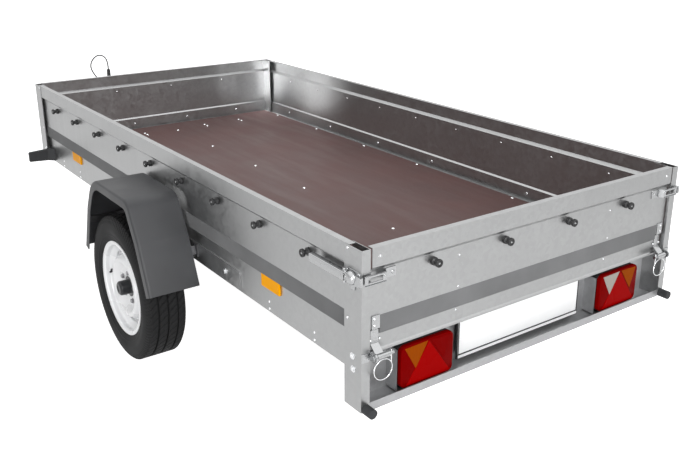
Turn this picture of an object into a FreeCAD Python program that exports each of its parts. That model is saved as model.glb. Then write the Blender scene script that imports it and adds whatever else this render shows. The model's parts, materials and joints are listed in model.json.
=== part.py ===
import FreeCAD, Part
import math
import os
from FreeCAD import Vector

# Utility trailer of the 265 x 125 cm class: sheet-steel box on a pressed frame, one rubber-sprung axle,
# hinged tailgate, straight drawbar with ball coupling and jockey wheel.
# Millimetres, Z up from the ground, +Y forward to the coupling, +X to the trailer's right.
# Lengths along Y are taken from the middle of the box. save() moves every piece, so that the origin
# lies on the ground under the middle of the whole trailer.

# Box
BOX_WIDTH = 1300.0
BOX_LENGTH = 2686.0
WALL_TOP = 796.0
SHEET = 2.0
WALL_RIM = 20.0
UPPER_CREASE = 742.0
UPPER_STEP = 10.0
UPPER_DROP = 11.0
MID_CREASE = 566.0
MID_STEP = 6.0
WALL_FOOT = 26.0
POST_SIDE = 76.0
POST_END = 28.0
POST_TOP = WALL_TOP - 1.5
REAR_POST_FOOT = 333.0
POCKET_GRIP = 20.0

# Frame
RAIL_TOP = 504.0
RAIL_HEIGHT = 74.0
RAIL_FLANGE = 50.0
RAIL_SHEET = 2.5
CROSS_FLANGE = 40.0
CROSS_PLACES = (800.0, 250.0, -520.0)
FLOOR_THICKNESS = 9.0
FLOOR_GAP = 1.0
PLATE_THICKNESS = 4.0
PLATE_LENGTH = 1194.0
PLATE_TOP_GAP = 2.5
PLATE_BOTTOM_GAP = 5.5
PLATE_CORNER = 15.0

# Tailgate and its hinges
GATE_GAP = 5.0
GATE_LIP_STEP = 4.0
GATE_BOTTOM = 492.5
GATE_LOWER_EDGE = 502.0
GATE_FLOOR_GAP = 6.0
HINGE_Z = 495.0
HINGE_BEHIND = 15.0
HINGE_PIN_R = 5.0
PIN_CLEARANCE = 0.05
HINGE_TUBE_R = 8.0
HINGE_TUBE_IN = 570.0
HINGE_TUBE_OUT = 611.0
HINGE_STRAP_WIDTH = 26.0
HINGE_STRAP_TOP = 603.0
HINGE_STRAP_SHEET = 3.0
HINGE_EAR = 5.0
HINGE_EAR_R = 13.0
HINGE_PIN_IN = 556.0
HINGE_PIN_HEAD = 5.0
RING_R = 30.0
RING_WIRE_R = 1.5
RING_PEG_R = 2.0
RING_PEG_INSET = 7.0
RING_PEG_DROP = 28.0
RING_LEAN = 0.47
KEEPER_Z = 714.0
KEEPER_HEIGHT = 27.0
KEEPER_OUT = 646.0
KEEPER_IN = 534.0
KEEPER_FOOT = 44.0
KEEPER_POST_GAP = 5.0
KEEPER_SHEET = 3.0

# Latch on each side wall
LATCH_Z = 714.0
LATCH_PLATE_HEIGHT = 44.0
LATCH_PLATE_LENGTH = 62.0
LATCH_LEVER_FRONT = -1130.0
LATCH_LEVER_HEIGHT = 24.0
LATCH_LEVER_OUT = 20.0
LATCH_SHEET = 3.0
LATCH_CLAW_GAP = 1.5

# Light bar, lamps and plate
BAR_SHEET = 3.0
BAR_BOTTOM = 331.5
BAR_LIP = 25.0
LAMP_X = 413.0
LAMP_WIDTH = 190.0
LAMP_BOTTOM = 349.5
LAMP_HEIGHT = 128.0
LAMP_CORNER = 14.0
LENS_DEPTH = 14.0
LENS_FACE_INSET = 11.0
HOUSING_DEPTH = 13.0
HOUSING_SHRINK = 2.0
BRACKET_SHRINK = 12.0
NUMBER_WIDTH = 520.0
NUMBER_HEIGHT = 112.0
NUMBER_THICKNESS = 1.5
NUMBER_BOTTOM = 358.5
NUMBER_REAR_INSET = 53.0
HOLDER_BORDER = 4.0
HOLDER_THICKNESS = 4.0
HOLDER_STRIP = 12.0
STANDOFF_X = 190.0
STANDOFF_WIDTH = 30.0
STANDOFF_HEIGHT = 60.0
BUFFER_R = 14.0
BUFFER_LENGTH = 35.0
BUFFER_Z = 343.0

# Knobs, reflectors and front marker arms
KNOB_R = 12.0
KNOB_NECK_R = 6.0
KNOB_DISC = 5.0
KNOB_LENGTH = 25.0
KNOB_Z = 707.5
KNOB_PITCH = 268.7
KNOB_FIRST = -1081.0
KNOB_COUNT = 9
GATE_KNOB_PITCH = 269.0
GATE_KNOB_COUNT = 4
REFLECTOR_LENGTH = 105.0
REFLECTOR_HEIGHT = 45.0
REFLECTOR_THICKNESS = 6.0
REFLECTOR_Z = 530.0
REFLECTOR_PLACES = (862.0, -862.0)
ARM_Y = 1232.0
ARM_BASE_LENGTH = 60.0
ARM_BASE_HEIGHT = 60.0
ARM_BASE_OUT = 30.0
ARM_TIP_OUT = 118.0
ARM_TIP_HEIGHT = 46.0
ARM_THICKNESS = 16.0
ARM_Z = 466.0

# Running gear
AXLE_Y = -71.0
AXLE_Z = 272.0
TRACK_HALF = 751.0
TYRE_R = 272.0
TYRE_WIDTH = 157.0
TYRE_TREAD_WIDTH = 124.0
TYRE_CROWN = 2.0
TYRE_WALL = 9.0
TYRE_TREAD = 14.0
TYRE_BEAD_RISE = 14.0
TYRE_BEAD_FLARE = 7.0
TYRE_BULGE_BAND = 14.0
TYRE_SHOULDER = 22.0
TYRE_SHOULDER_IN = 4.0
TYRE_EDGE_DROP = 7.0
TYRE_EDGE_OUT = 5.0
RIM_EDGE_R = 179.0
RIM_SEAT_R = 165.0
RIM_WELL_R = 148.0
RIM_WELL_HALF = 30.0
RIM_WELL_SLOPE = 16.0
RIM_WIDTH = 134.0
RIM_SHEET = 4.0
WHEEL_OFFSET = 30.0
DISC_DISH = 12.0
DISC_FLANGE = 20.0
DISC_RING_R = 104.0
DISC_RING_OUT = 26.0
DISC_RING_TOP = 7.0
DISC_RING_FOOT = 21.0
HUB_CAP_R = 27.0
HUB_CAP_LENGTH = 42.0
HUB_CAP_EDGE = 5.0
HUB_FLANGE_R = 72.0
HUB_FLANGE = 10.0
HUB_BODY_R = 38.0
HUB_BODY_BACK = 40.0
STUB_R = 17.0
STUB_CLEARANCE = 0.05
STUB_PAST_DISC = 25.0
STUB_END_GAP = 5.0
BEAM_SIZE = 60.0
BEAM_WALL = 5.0
BEAM_Y = 65.0
BEAM_Z = 340.0
BEAM_HALF = 640.0
TRAIL_ARM_THICKNESS = 24.0
TRAIL_ARM_STUB_R = 30.0
TRAIL_ARM_BEAM_R = 42.0
BEAM_BRACKET_TOP = 220.0
BEAM_BRACKET_SHEET = 6.0

# Mudguards
GUARD_OUTER = 840.0
GUARD_INNER = 655.0
GUARD_SHEET = 4.0
GUARD_LIP = 34.0
GUARD_TOP = 666.0
GUARD_FRONT_FOOT = (217.0, 360.0)
GUARD_FRONT_KNEE = (152.0, 538.0)
GUARD_FRONT_CORNER = 78.0
GUARD_REAR_CORNER = -262.0
GUARD_REAR_KNEE = (-338.0, 533.0)
GUARD_REAR_FOOT = (-406.0, 363.0)
GUARD_FRONT_CORNER_R = 120.0
GUARD_REAR_CORNER_R = 60.0
GUARD_KNEE_R = 90.0
STAY_WIDTH = 30.0
STAY_THICKNESS = 5.0
STAY_Z = 478.0
STAY_FOOT_HEIGHT = 46.0

# Drawbar, coupling and jockey wheel
DRAWBAR_SIZE = 60.0
DRAWBAR_WALL = 3.0
DRAWBAR_REAR = 20.0
DRAWBAR_FRONT = 2290.0
CLAMP_WIDTH = 50.0
CLAMP_SHEET = 3.0
CLAMP_EAR = 24.0
BALL_Y = 2350.0
BALL_MOUTH_Z = 372.0
BALL_R = 25.2
BALL_WALL_LENGTH = 26.0
HEAD_R = 38.0
HEAD_COLLAR = 120.0
HEAD_SHEET = 3.0
HEAD_NECK_HALF = 28.0
HEAD_NECK_RISE = 4.0
HEAD_NECK_DROP = 12.0
HEAD_NECK_SHORT = 8.0
HEAD_SEAM_TURN = 37.0
HEAD_PAD_TOP = 440.0
HANDLE_WIDTH = 28.0
HANDLE_LENGTH = 165.0
HANDLE_SHEET = 6.0
HANDLE_RISE = 36.0
JACK_Y = 1800.0
JACK_X = 70.0
JACK_OUTER_R = 24.0
JACK_INNER_R = 20.0
JACK_TUBE_WALL = 3.0
JACK_RUN_GAP = 0.5
JACK_OUTER_BOTTOM = 322.0
JACK_OUTER_TOP = 560.0
JACK_INNER_TOP = 490.0
JACK_CROWN_TOP = 225.0
JACK_CROWN = 10.0
JACK_END_GAP = 0.3
JACK_PLUG = 40.0
JACK_WHEEL_R = 100.0
JACK_WHEEL_WIDTH = 50.0
JACK_TYRE_IN_R = 64.0
JACK_TYRE_EDGE = 12.0
JACK_WEB_R = 58.0
JACK_WEB_HALF = 11.0
JACK_HUB_R = 16.0
JACK_HUB_GAP = 1.0
JACK_TRAIL = 35.0
JACK_FORK_GAP = 5.0
JACK_FORK_SHEET = 4.0
JACK_FORK_BACK = 30.0
JACK_STEM_R = 12.0
JACK_STEM_RISE = 30.0
JACK_PIN_R = 6.0
JACK_PIN_HEAD = 3.0
JACK_CLAMP_HEIGHT = 50.0
JACK_CLAMP_WALL = 6.0
CRANK_LENGTH = 90.0
CRANK_R = 5.0
CRANK_RISE = 18.0

# Lead, plug and plug holder
PLUG_Y = 2118.0
PLUG_BOTTOM = 586.0
PLUG_R = 23.0
PLUG_HEIGHT = 56.0
PLUG_SLOPE = 6.0
PLUG_NECK_R = 9.5
PLUG_NECK_FLARE = 1.5
PLUG_NECK = 50.0
HOLDER_R = 30.0
HOLDER_BORE_R = 25.0
HOLDER_HEIGHT = 26.0
HOLDER_FLOOR = 4.0
POST_STRIP = 40.0
POST_STRIP_SHEET = 5.0
LEAD_R = 3.5
LEAD_ARC_SHARE = 0.45
GLAND_R = 8.0
GLAND_LENGTH = 14.0
LEAD_EXIT_Y = 2160.0

# Places that follow from the sizes above
HALF_WIDTH = BOX_WIDTH / 2
REAR = -BOX_LENGTH / 2
FRONT = BOX_LENGTH / 2
RAIL_BOTTOM = RAIL_TOP - RAIL_HEIGHT
POST_INNER = HALF_WIDTH - POST_END
POST_REAR_EDGE = REAR + POST_SIDE
POST_FRONT_EDGE = FRONT - POST_SIDE
WALL_PANEL = SHEET + UPPER_STEP
WALL_SKIRT = SHEET + UPPER_STEP + MID_STEP
WEB_INNER = HALF_WIDTH - WALL_SKIRT - RAIL_SHEET
FRAME_FRONT = FRONT - UPPER_STEP - MID_STEP
GATE_HALF = POST_INNER - GATE_GAP
GATE_PANEL = REAR + UPPER_STEP
HINGE_Y = REAR - HINGE_BEHIND
BAR_WEB = POST_REAR_EDGE + 1
REAR_WEB = BAR_WEB + RAIL_SHEET
DRAWBAR_TOP = RAIL_BOTTOM
DRAWBAR_BOTTOM = DRAWBAR_TOP - DRAWBAR_SIZE
REAR_TIP = REAR - BUFFER_LENGTH
FRONT_TIP = BALL_Y + HEAD_R
ORIGIN = Vector(0, -(REAR_TIP + FRONT_TIP) / 2, 0)

PLANES = {
    "YZ": (lambda a, b, at: Vector(at, a, b), Vector(1, 0, 0)),
    "XZ": (lambda a, b, at: Vector(a, at, b), Vector(0, 1, 0)),
    "XY": (lambda a, b, at: Vector(a, b, at), Vector(0, 0, 1)),
}


def prism(points, plane, start, end):
    """Solid with the closed outline of points in a plane, from start to end across it."""
    to_space, normal = PLANES[plane]
    corners = [to_space(a, b, start) for a, b in points]
    face = Part.Face(Part.makePolygon(corners + corners[:1]))
    return face.extrude(normal * (end - start))


def block(low, high):
    return Part.makeBox(high[0] - low[0], high[1] - low[1], high[2] - low[2], Vector(*low))


def rod(radius, start, end):
    start, end = Vector(*start), Vector(*end)
    return Part.makeCylinder(radius, (end - start).Length, start, end - start)


def turned(profile, centre, axis):
    """Solid of revolution from (radius, distance along the axis) points."""
    centre, axis = Vector(*centre), Vector(*axis)
    side = Vector(0, 0, 1) if abs(axis.z) < 0.5 else Vector(1, 0, 0)
    points = [centre + side * radius + axis * along for radius, along in profile]
    face = Part.Face(Part.makePolygon(points + points[:1]))
    return face.revolve(centre, axis, 360)


def left_normal(start, end):
    length = math.hypot(end[0] - start[0], end[1] - start[1])
    return (start[1] - end[1]) / length, (end[0] - start[0]) / length


def sheet_outline(path, thickness):
    """Closed outline of a bent sheet whose outer face follows path, with the metal on its left."""
    normals = [left_normal(a, b) for a, b in zip(path, path[1:])]
    inner = []
    for index, point in enumerate(path):
        before = normals[max(index - 1, 0)]
        after = normals[min(index, len(normals) - 1)]
        share = thickness / (1 + before[0] * after[0] + before[1] * after[1])
        inner.append((point[0] + share * (before[0] + after[0]), point[1] + share * (before[1] + after[1])))
    return list(path) + inner[::-1]


def mirrored(shape):
    return shape.mirror(Vector(0, 0, 0), Vector(1, 0, 0))


def both_sides(shape):
    return Part.Compound([shape, mirrored(shape)])


def fused(shapes):
    return shapes[0].multiFuse(shapes[1:]).removeSplitter()


def rounded(shape, radius, direction):
    """Shape with its edges along a direction rounded."""
    edges = [e for e in shape.Edges if abs(abs(e.tangentAt(e.FirstParameter).dot(direction)) - 1) < 1e-6]
    return shape.makeFillet(radius, edges)


def save(name, shape):
    placed = shape.copy()
    placed.translate(ORIGIN)
    placed.exportStep("parts/" + name + ".step")


# Box walls

def wall_path(outer, foot):
    """Outer face of a wall's sheet: rim, upper band, panel, lower band and, at the bottom, its foot."""
    panel = outer + UPPER_STEP
    skirt = panel + MID_STEP
    path = [
        (outer + WALL_RIM, WALL_TOP),
        (outer, WALL_TOP),
        (outer, UPPER_CREASE),
        (panel, UPPER_CREASE - UPPER_DROP),
        (panel, MID_CREASE),
        (skirt, MID_CREASE - MID_STEP),
        (skirt, RAIL_TOP),
    ]
    if foot:
        path.append((skirt + WALL_FOOT, RAIL_TOP))
    return path


def from_edge(outline, edge, inward):
    return [(edge + inward * across, height) for across, height in outline]


def side_wall():
    """Left wall, whose ends slide into the pockets of the corner posts."""
    full = from_edge(sheet_outline(wall_path(SHEET, True), SHEET), -HALF_WIDTH, 1)
    plain = from_edge(sheet_outline(wall_path(SHEET, False), SHEET), -HALF_WIDTH, 1)
    between = prism(full, "XZ", POST_REAR_EDGE, POST_FRONT_EDGE)
    tongue = prism(plain, "XZ", POST_REAR_EDGE - POCKET_GRIP, POST_FRONT_EDGE + POCKET_GRIP)
    return fused([between, tongue])


def front_wall():
    outline = from_edge(sheet_outline(wall_path(0.0, True), SHEET), FRONT, -1)
    return prism(outline, "YZ", -POST_INNER, POST_INNER)


def rear_post():
    path = [
        (-HALF_WIDTH, POST_REAR_EDGE),
        (-HALF_WIDTH, REAR),
        (-POST_INNER, REAR),
        (-POST_INNER, POST_REAR_EDGE),
    ]
    return prism(sheet_outline(path, SHEET), "XY", REAR_POST_FOOT, POST_TOP)


def front_post():
    path = [
        (-POST_INNER, POST_FRONT_EDGE),
        (-POST_INNER, FRONT),
        (-HALF_WIDTH, FRONT),
        (-HALF_WIDTH, POST_FRONT_EDGE),
    ]
    return prism(sheet_outline(path, SHEET), "XY", RAIL_BOTTOM, POST_TOP)


def floor_board():
    edge = HALF_WIDTH - WALL_SKIRT - WALL_FOOT - FLOOR_GAP
    front = FRAME_FRONT - WALL_FOOT - FLOOR_GAP
    rear = REAR + UPPER_STEP + MID_STEP + SHEET + GATE_FLOOR_GAP
    return block((-edge, rear, RAIL_TOP), (edge, front, RAIL_TOP + FLOOR_THICKNESS))


# Frame

def frame_rail():
    path = [
        (WALL_SKIRT + RAIL_FLANGE, RAIL_TOP),
        (WALL_SKIRT, RAIL_TOP),
        (WALL_SKIRT, RAIL_BOTTOM),
        (WALL_SKIRT + RAIL_FLANGE, RAIL_BOTTOM),
    ]
    channel = from_edge(sheet_outline(path, RAIL_SHEET), -HALF_WIDTH, 1)
    web = from_edge(sheet_outline(path[1:3], RAIL_SHEET), -HALF_WIDTH, 1)
    between = prism(channel, "XZ", REAR_WEB, POST_FRONT_EDGE)
    tongue = prism(web, "XZ", POST_REAR_EDGE - POCKET_GRIP, POST_FRONT_EDGE + POCKET_GRIP)
    return fused([between, tongue])


def front_member():
    path = [
        (CROSS_FLANGE, RAIL_TOP),
        (0.0, RAIL_TOP),
        (0.0, RAIL_BOTTOM),
        (CROSS_FLANGE, RAIL_BOTTOM),
    ]
    return prism(from_edge(sheet_outline(path, RAIL_SHEET), FRAME_FRONT, -1), "YZ", -POST_INNER, POST_INNER)


def rear_member():
    """Z-shaped member: its upper flange carries the floor's rear end, its lower one points forward."""
    web = block((-WEB_INNER, BAR_WEB, RAIL_BOTTOM), (WEB_INNER, REAR_WEB, RAIL_TOP))
    ledge_end = REAR + UPPER_STEP + MID_STEP + SHEET + GATE_FLOOR_GAP
    ledge = block((-POST_INNER, ledge_end, RAIL_TOP - RAIL_SHEET), (POST_INNER, BAR_WEB, RAIL_TOP))
    flange_half = HALF_WIDTH - WALL_SKIRT - RAIL_FLANGE
    lower = block((-flange_half, REAR_WEB, RAIL_BOTTOM),
                  (flange_half, REAR_WEB + CROSS_FLANGE, RAIL_BOTTOM + RAIL_SHEET))
    return fused([web, ledge, lower])


def cross_member(place):
    path = [
        (CROSS_FLANGE, RAIL_TOP - RAIL_SHEET),
        (0.0, RAIL_TOP - RAIL_SHEET),
        (0.0, RAIL_BOTTOM + RAIL_SHEET),
        (CROSS_FLANGE, RAIL_BOTTOM + RAIL_SHEET),
    ]
    return prism(from_edge(sheet_outline(path, RAIL_SHEET), place, -1), "YZ", -WEB_INNER, WEB_INNER)


def side_plate():
    outer = -HALF_WIDTH + WALL_SKIRT - PLATE_THICKNESS
    low = (outer, AXLE_Y - PLATE_LENGTH / 2, RAIL_BOTTOM + PLATE_BOTTOM_GAP)
    high = (outer + PLATE_THICKNESS, AXLE_Y + PLATE_LENGTH / 2, RAIL_TOP - PLATE_TOP_GAP)
    return rounded(block(low, high), PLATE_CORNER, Vector(1, 0, 0))


# Tailgate

def gate_panel():
    panel = UPPER_STEP
    skirt = panel + MID_STEP
    path = [
        (WALL_RIM, WALL_TOP),
        (0.0, WALL_TOP),
        (0.0, UPPER_CREASE),
        (panel, UPPER_CREASE - UPPER_DROP),
        (panel, MID_CREASE),
        (skirt, MID_CREASE - MID_STEP),
        (skirt, GATE_LOWER_EDGE),
        (skirt - GATE_LIP_STEP, GATE_LOWER_EDGE - GATE_LIP_STEP),
        (skirt - GATE_LIP_STEP, GATE_BOTTOM),
    ]
    return prism(from_edge(sheet_outline(path, SHEET), REAR, 1), "YZ", -GATE_HALF, GATE_HALF)


def hinge_strap():
    """Left strap: down the panel, then out to the tube that turns on the pin."""
    inner = -(HINGE_TUBE_OUT - HINGE_STRAP_WIDTH)
    outer = -HINGE_TUBE_OUT
    skirt_y = GATE_PANEL + MID_STEP
    path = [
        (GATE_PANEL, HINGE_STRAP_TOP),
        (GATE_PANEL, MID_CREASE),
        (skirt_y, MID_CREASE - MID_STEP),
        (skirt_y, HINGE_Z + 3 * HINGE_TUBE_R),
        (HINGE_Y + HINGE_TUBE_R, HINGE_Z + HINGE_STRAP_SHEET),
        (HINGE_Y + HINGE_TUBE_R, HINGE_Z - HINGE_STRAP_SHEET),
    ]
    leaf = prism(sheet_outline(path[::-1], HINGE_STRAP_SHEET), "YZ", outer, inner)
    tube = rod(HINGE_TUBE_R, (-HINGE_TUBE_OUT, HINGE_Y, HINGE_Z), (-HINGE_TUBE_IN, HINGE_Y, HINGE_Z))
    bore = rod(HINGE_PIN_R + PIN_CLEARANCE, (-HINGE_TUBE_OUT - 1, HINGE_Y, HINGE_Z),
               (-HINGE_TUBE_IN + 1, HINGE_Y, HINGE_Z))
    return fused([leaf, tube]).cut(bore)


def hinge_bracket():
    """Left bracket on the post's end face, with the hinge pin through its ear."""
    ear_out = -(HINGE_TUBE_OUT + HINGE_PIN_HEAD)
    base = block((-HALF_WIDTH, REAR - SHEET, HINGE_Z - HINGE_EAR_R), (ear_out, REAR, HINGE_Z + HINGE_EAR_R))
    web = block((ear_out - HINGE_EAR, HINGE_Y, HINGE_Z - HINGE_EAR_R),
                (ear_out, REAR, HINGE_Z + HINGE_EAR_R))
    eye = rod(HINGE_EAR_R, (ear_out - HINGE_EAR, HINGE_Y, HINGE_Z), (ear_out, HINGE_Y, HINGE_Z))
    pin = rod(HINGE_PIN_R, (ear_out - HINGE_EAR - HINGE_PIN_HEAD, HINGE_Y, HINGE_Z),
              (-HINGE_PIN_IN, HINGE_Y, HINGE_Z))
    head = rod(HINGE_TUBE_R, (ear_out - HINGE_EAR - HINGE_PIN_HEAD, HINGE_Y, HINGE_Z),
               (ear_out - HINGE_EAR, HINGE_Y, HINGE_Z))
    return fused([base, web, eye, pin, head]).cut(ring_peg())


def ring_peg():
    """Peg of the ring clip, through the hinge pin just past the strap's tube."""
    place = -(HINGE_PIN_IN + RING_PEG_INSET)
    low = HINGE_Z - RING_PEG_DROP
    return rod(RING_PEG_R, (place, HINGE_Y, low), (place, HINGE_Y, HINGE_Z + 2 * HINGE_PIN_R))


def ring_clip():
    """Peg with the wire ring that hangs from its lower end and leans outwards."""
    place = -(HINGE_PIN_IN + RING_PEG_INSET)
    low = HINGE_Z - RING_PEG_DROP
    ring = Part.makeTorus(RING_R, RING_WIRE_R)
    ring.rotate(Vector(0, 0, 0), Vector(1, 0, 0), 90)
    ring.translate(Vector(place - RING_R * math.cos(RING_LEAN), HINGE_Y, low - RING_R * math.sin(RING_LEAN)))
    return fused([ring_peg(), ring])


def keeper():
    """Left keeper strap: from the gate's panel out across the post, clear of its end face."""
    out_y = REAR - KEEPER_POST_GAP
    path = [
        (-KEEPER_OUT, out_y - KEEPER_SHEET),
        (-KEEPER_IN - KEEPER_FOOT, out_y - KEEPER_SHEET),
        (-KEEPER_IN - KEEPER_FOOT + UPPER_STEP, GATE_PANEL - KEEPER_SHEET),
        (-KEEPER_IN, GATE_PANEL - KEEPER_SHEET),
    ]
    low = KEEPER_Z - KEEPER_HEIGHT / 2
    return prism(sheet_outline(path, KEEPER_SHEET), "XY", low, low + KEEPER_HEIGHT)


def latch():
    """Left latch: plate on the post, lever forward along the wall, hook round the corner."""
    face = -HALF_WIDTH
    low, high = LATCH_Z - LATCH_PLATE_HEIGHT / 2, LATCH_Z + LATCH_PLATE_HEIGHT / 2
    plate = block((face - LATCH_SHEET, REAR + LATCH_SHEET, low),
                  (face, REAR + LATCH_SHEET + LATCH_PLATE_LENGTH, high))
    body_front = REAR + LATCH_PLATE_LENGTH
    body = block((face - LATCH_LEVER_OUT, REAR + LATCH_SHEET, LATCH_Z - LATCH_LEVER_HEIGHT / 2),
                 (face - LATCH_SHEET, body_front, LATCH_Z + LATCH_LEVER_HEIGHT / 2))
    lever = block((face - LATCH_LEVER_OUT, body_front, LATCH_Z - LATCH_LEVER_HEIGHT / 2),
                  (face - LATCH_LEVER_OUT + LATCH_SHEET, LATCH_LEVER_FRONT, LATCH_Z + LATCH_LEVER_HEIGHT / 2))
    claw = block((face - LATCH_LEVER_OUT / 2, REAR - KEEPER_POST_GAP - KEEPER_SHEET,
                  LATCH_Z - LATCH_LEVER_HEIGHT / 2),
                 (face - LATCH_CLAW_GAP, REAR + LATCH_SHEET, LATCH_Z + LATCH_LEVER_HEIGHT / 2))
    return fused([plate, body, lever, claw])


# Light bar, lamps and plate

def light_bar():
    path = [
        (0.0, BAR_BOTTOM + BAR_LIP),
        (0.0, BAR_BOTTOM),
        (POST_SIDE + 1, BAR_BOTTOM),
        (POST_SIDE + 1, RAIL_TOP - RAIL_SHEET),
    ]
    return prism(from_edge(sheet_outline(path, BAR_SHEET), REAR, 1), "YZ", -POST_INNER, POST_INNER)


def lamp_outline(shrink):
    left, right = -LAMP_X - LAMP_WIDTH / 2 + shrink, -LAMP_X + LAMP_WIDTH / 2 - shrink
    return (left, right, LAMP_BOTTOM + shrink, LAMP_BOTTOM + LAMP_HEIGHT - shrink)


def lamp_lens():
    left, right, low, high = lamp_outline(0.0)
    face = REAR + LENS_FACE_INSET
    lens = block((left, face, low), (right, face + LENS_DEPTH, high))
    return rounded(lens, LAMP_CORNER, Vector(0, 1, 0))


def lamp_housing():
    left, right, low, high = lamp_outline(HOUSING_SHRINK)
    front = REAR + LENS_FACE_INSET + LENS_DEPTH
    housing = block((left, front, low), (right, front + HOUSING_DEPTH, high))
    return rounded(housing, LAMP_CORNER - HOUSING_SHRINK, Vector(0, 1, 0))


def lamp_bracket():
    """Channel that carries the lamp on the light bar's web."""
    left, right, low, high = lamp_outline(BRACKET_SHRINK)
    face = REAR + LENS_FACE_INSET + LENS_DEPTH + HOUSING_DEPTH
    path = [(left, BAR_WEB - BAR_SHEET), (left, face), (right, face), (right, BAR_WEB - BAR_SHEET)]
    return prism(sheet_outline(path, SHEET), "XY", low, high)


def plate_holder():
    rear = REAR + NUMBER_REAR_INSET + NUMBER_THICKNESS
    half = NUMBER_WIDTH / 2 + HOLDER_BORDER
    low = NUMBER_BOTTOM - HOLDER_STRIP
    high = NUMBER_BOTTOM + NUMBER_HEIGHT + HOLDER_BORDER
    back = block((-half, rear, low), (half, rear + HOLDER_THICKNESS, high))
    strip = block((-half, rear - NUMBER_THICKNESS - 1, low), (half, rear, NUMBER_BOTTOM))
    middle = (low + high) / 2
    standoffs = []
    for side in (-1, 1):
        left = side * STANDOFF_X - STANDOFF_WIDTH / 2
        standoffs.append(block((left, rear + HOLDER_THICKNESS, middle - STANDOFF_HEIGHT / 2),
                               (left + STANDOFF_WIDTH, BAR_WEB - BAR_SHEET, middle + STANDOFF_HEIGHT / 2)))
    return fused([back, strip] + standoffs)


def number_plate():
    rear = REAR + NUMBER_REAR_INSET
    return block((-NUMBER_WIDTH / 2, rear, NUMBER_BOTTOM),
                 (NUMBER_WIDTH / 2, rear + NUMBER_THICKNESS, NUMBER_BOTTOM + NUMBER_HEIGHT))


def buffer():
    middle_x = -(HALF_WIDTH + POST_INNER) / 2
    return rod(BUFFER_R, (middle_x, REAR_TIP, BUFFER_Z), (middle_x, REAR, BUFFER_Z))


# Knobs, reflectors and front marker arms

def knob(base, axis):
    """Spool for the tarpaulin's cord: two discs on a neck."""
    neck_end = KNOB_LENGTH - KNOB_DISC
    profile = [
        (0, 0),
        (KNOB_R, 0),
        (KNOB_R, KNOB_DISC),
        (KNOB_NECK_R, KNOB_DISC + KNOB_NECK_R / 2),
        (KNOB_NECK_R, neck_end - KNOB_NECK_R / 2),
        (KNOB_R, neck_end),
        (KNOB_R, KNOB_LENGTH),
        (0, KNOB_LENGTH),
    ]
    return turned(profile, base, axis)


def wall_knobs():
    knobs = []
    for index in range(KNOB_COUNT):
        place = KNOB_FIRST + index * KNOB_PITCH
        one = knob((-HALF_WIDTH + WALL_PANEL, place, KNOB_Z), (-1, 0, 0))
        knobs += [one, mirrored(one)]
    return Part.Compound(knobs)


def gate_knobs():
    start = -GATE_KNOB_PITCH * (GATE_KNOB_COUNT - 1) / 2
    places = [start + index * GATE_KNOB_PITCH for index in range(GATE_KNOB_COUNT)]
    return Part.Compound([knob((place, GATE_PANEL, KNOB_Z), (0, -1, 0)) for place in places])


def reflectors():
    face = -HALF_WIDTH + WALL_SKIRT
    pieces = []
    for place in REFLECTOR_PLACES:
        low = (face - REFLECTOR_THICKNESS, place - REFLECTOR_LENGTH / 2, REFLECTOR_Z - REFLECTOR_HEIGHT / 2)
        high = (face, place + REFLECTOR_LENGTH / 2, REFLECTOR_Z + REFLECTOR_HEIGHT / 2)
        one = block(low, high)
        pieces += [one, mirrored(one)]
    return Part.Compound(pieces)


def marker_arm():
    """Left front arm: a tapered rubber foot on the rail and a flat arm that sticks out."""
    face = -HALF_WIDTH + WALL_SKIRT
    outline = [
        (face, ARM_Y - ARM_BASE_LENGTH / 2), (face, ARM_Y + ARM_BASE_LENGTH / 2),
        (face - ARM_BASE_OUT, ARM_Y + ARM_THICKNESS / 2), (face - ARM_TIP_OUT, ARM_Y + ARM_THICKNESS / 2),
        (face - ARM_TIP_OUT, ARM_Y - ARM_THICKNESS / 2), (face - ARM_BASE_OUT, ARM_Y - ARM_THICKNESS / 2),
    ]
    plan = prism(outline, "XY", ARM_Z - ARM_BASE_HEIGHT / 2, ARM_Z + ARM_BASE_HEIGHT / 2)
    elevation = [
        (face, ARM_Z - ARM_BASE_HEIGHT / 2), (face, ARM_Z + ARM_BASE_HEIGHT / 2),
        (face - ARM_TIP_OUT, ARM_Z + ARM_TIP_HEIGHT / 2), (face - ARM_TIP_OUT, ARM_Z - ARM_TIP_HEIGHT / 2),
    ]
    taper = prism(elevation, "XZ", ARM_Y - ARM_BASE_LENGTH / 2, ARM_Y + ARM_BASE_LENGTH / 2)
    return plan.common(taper)


# Running gear, drawn for the right wheel, whose outer side faces +X

def wheel_centre():
    return (TRACK_HALF, AXLE_Y, AXLE_Z)


def opposite(profile):
    return [(radius, -along) for radius, along in profile]


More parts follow.
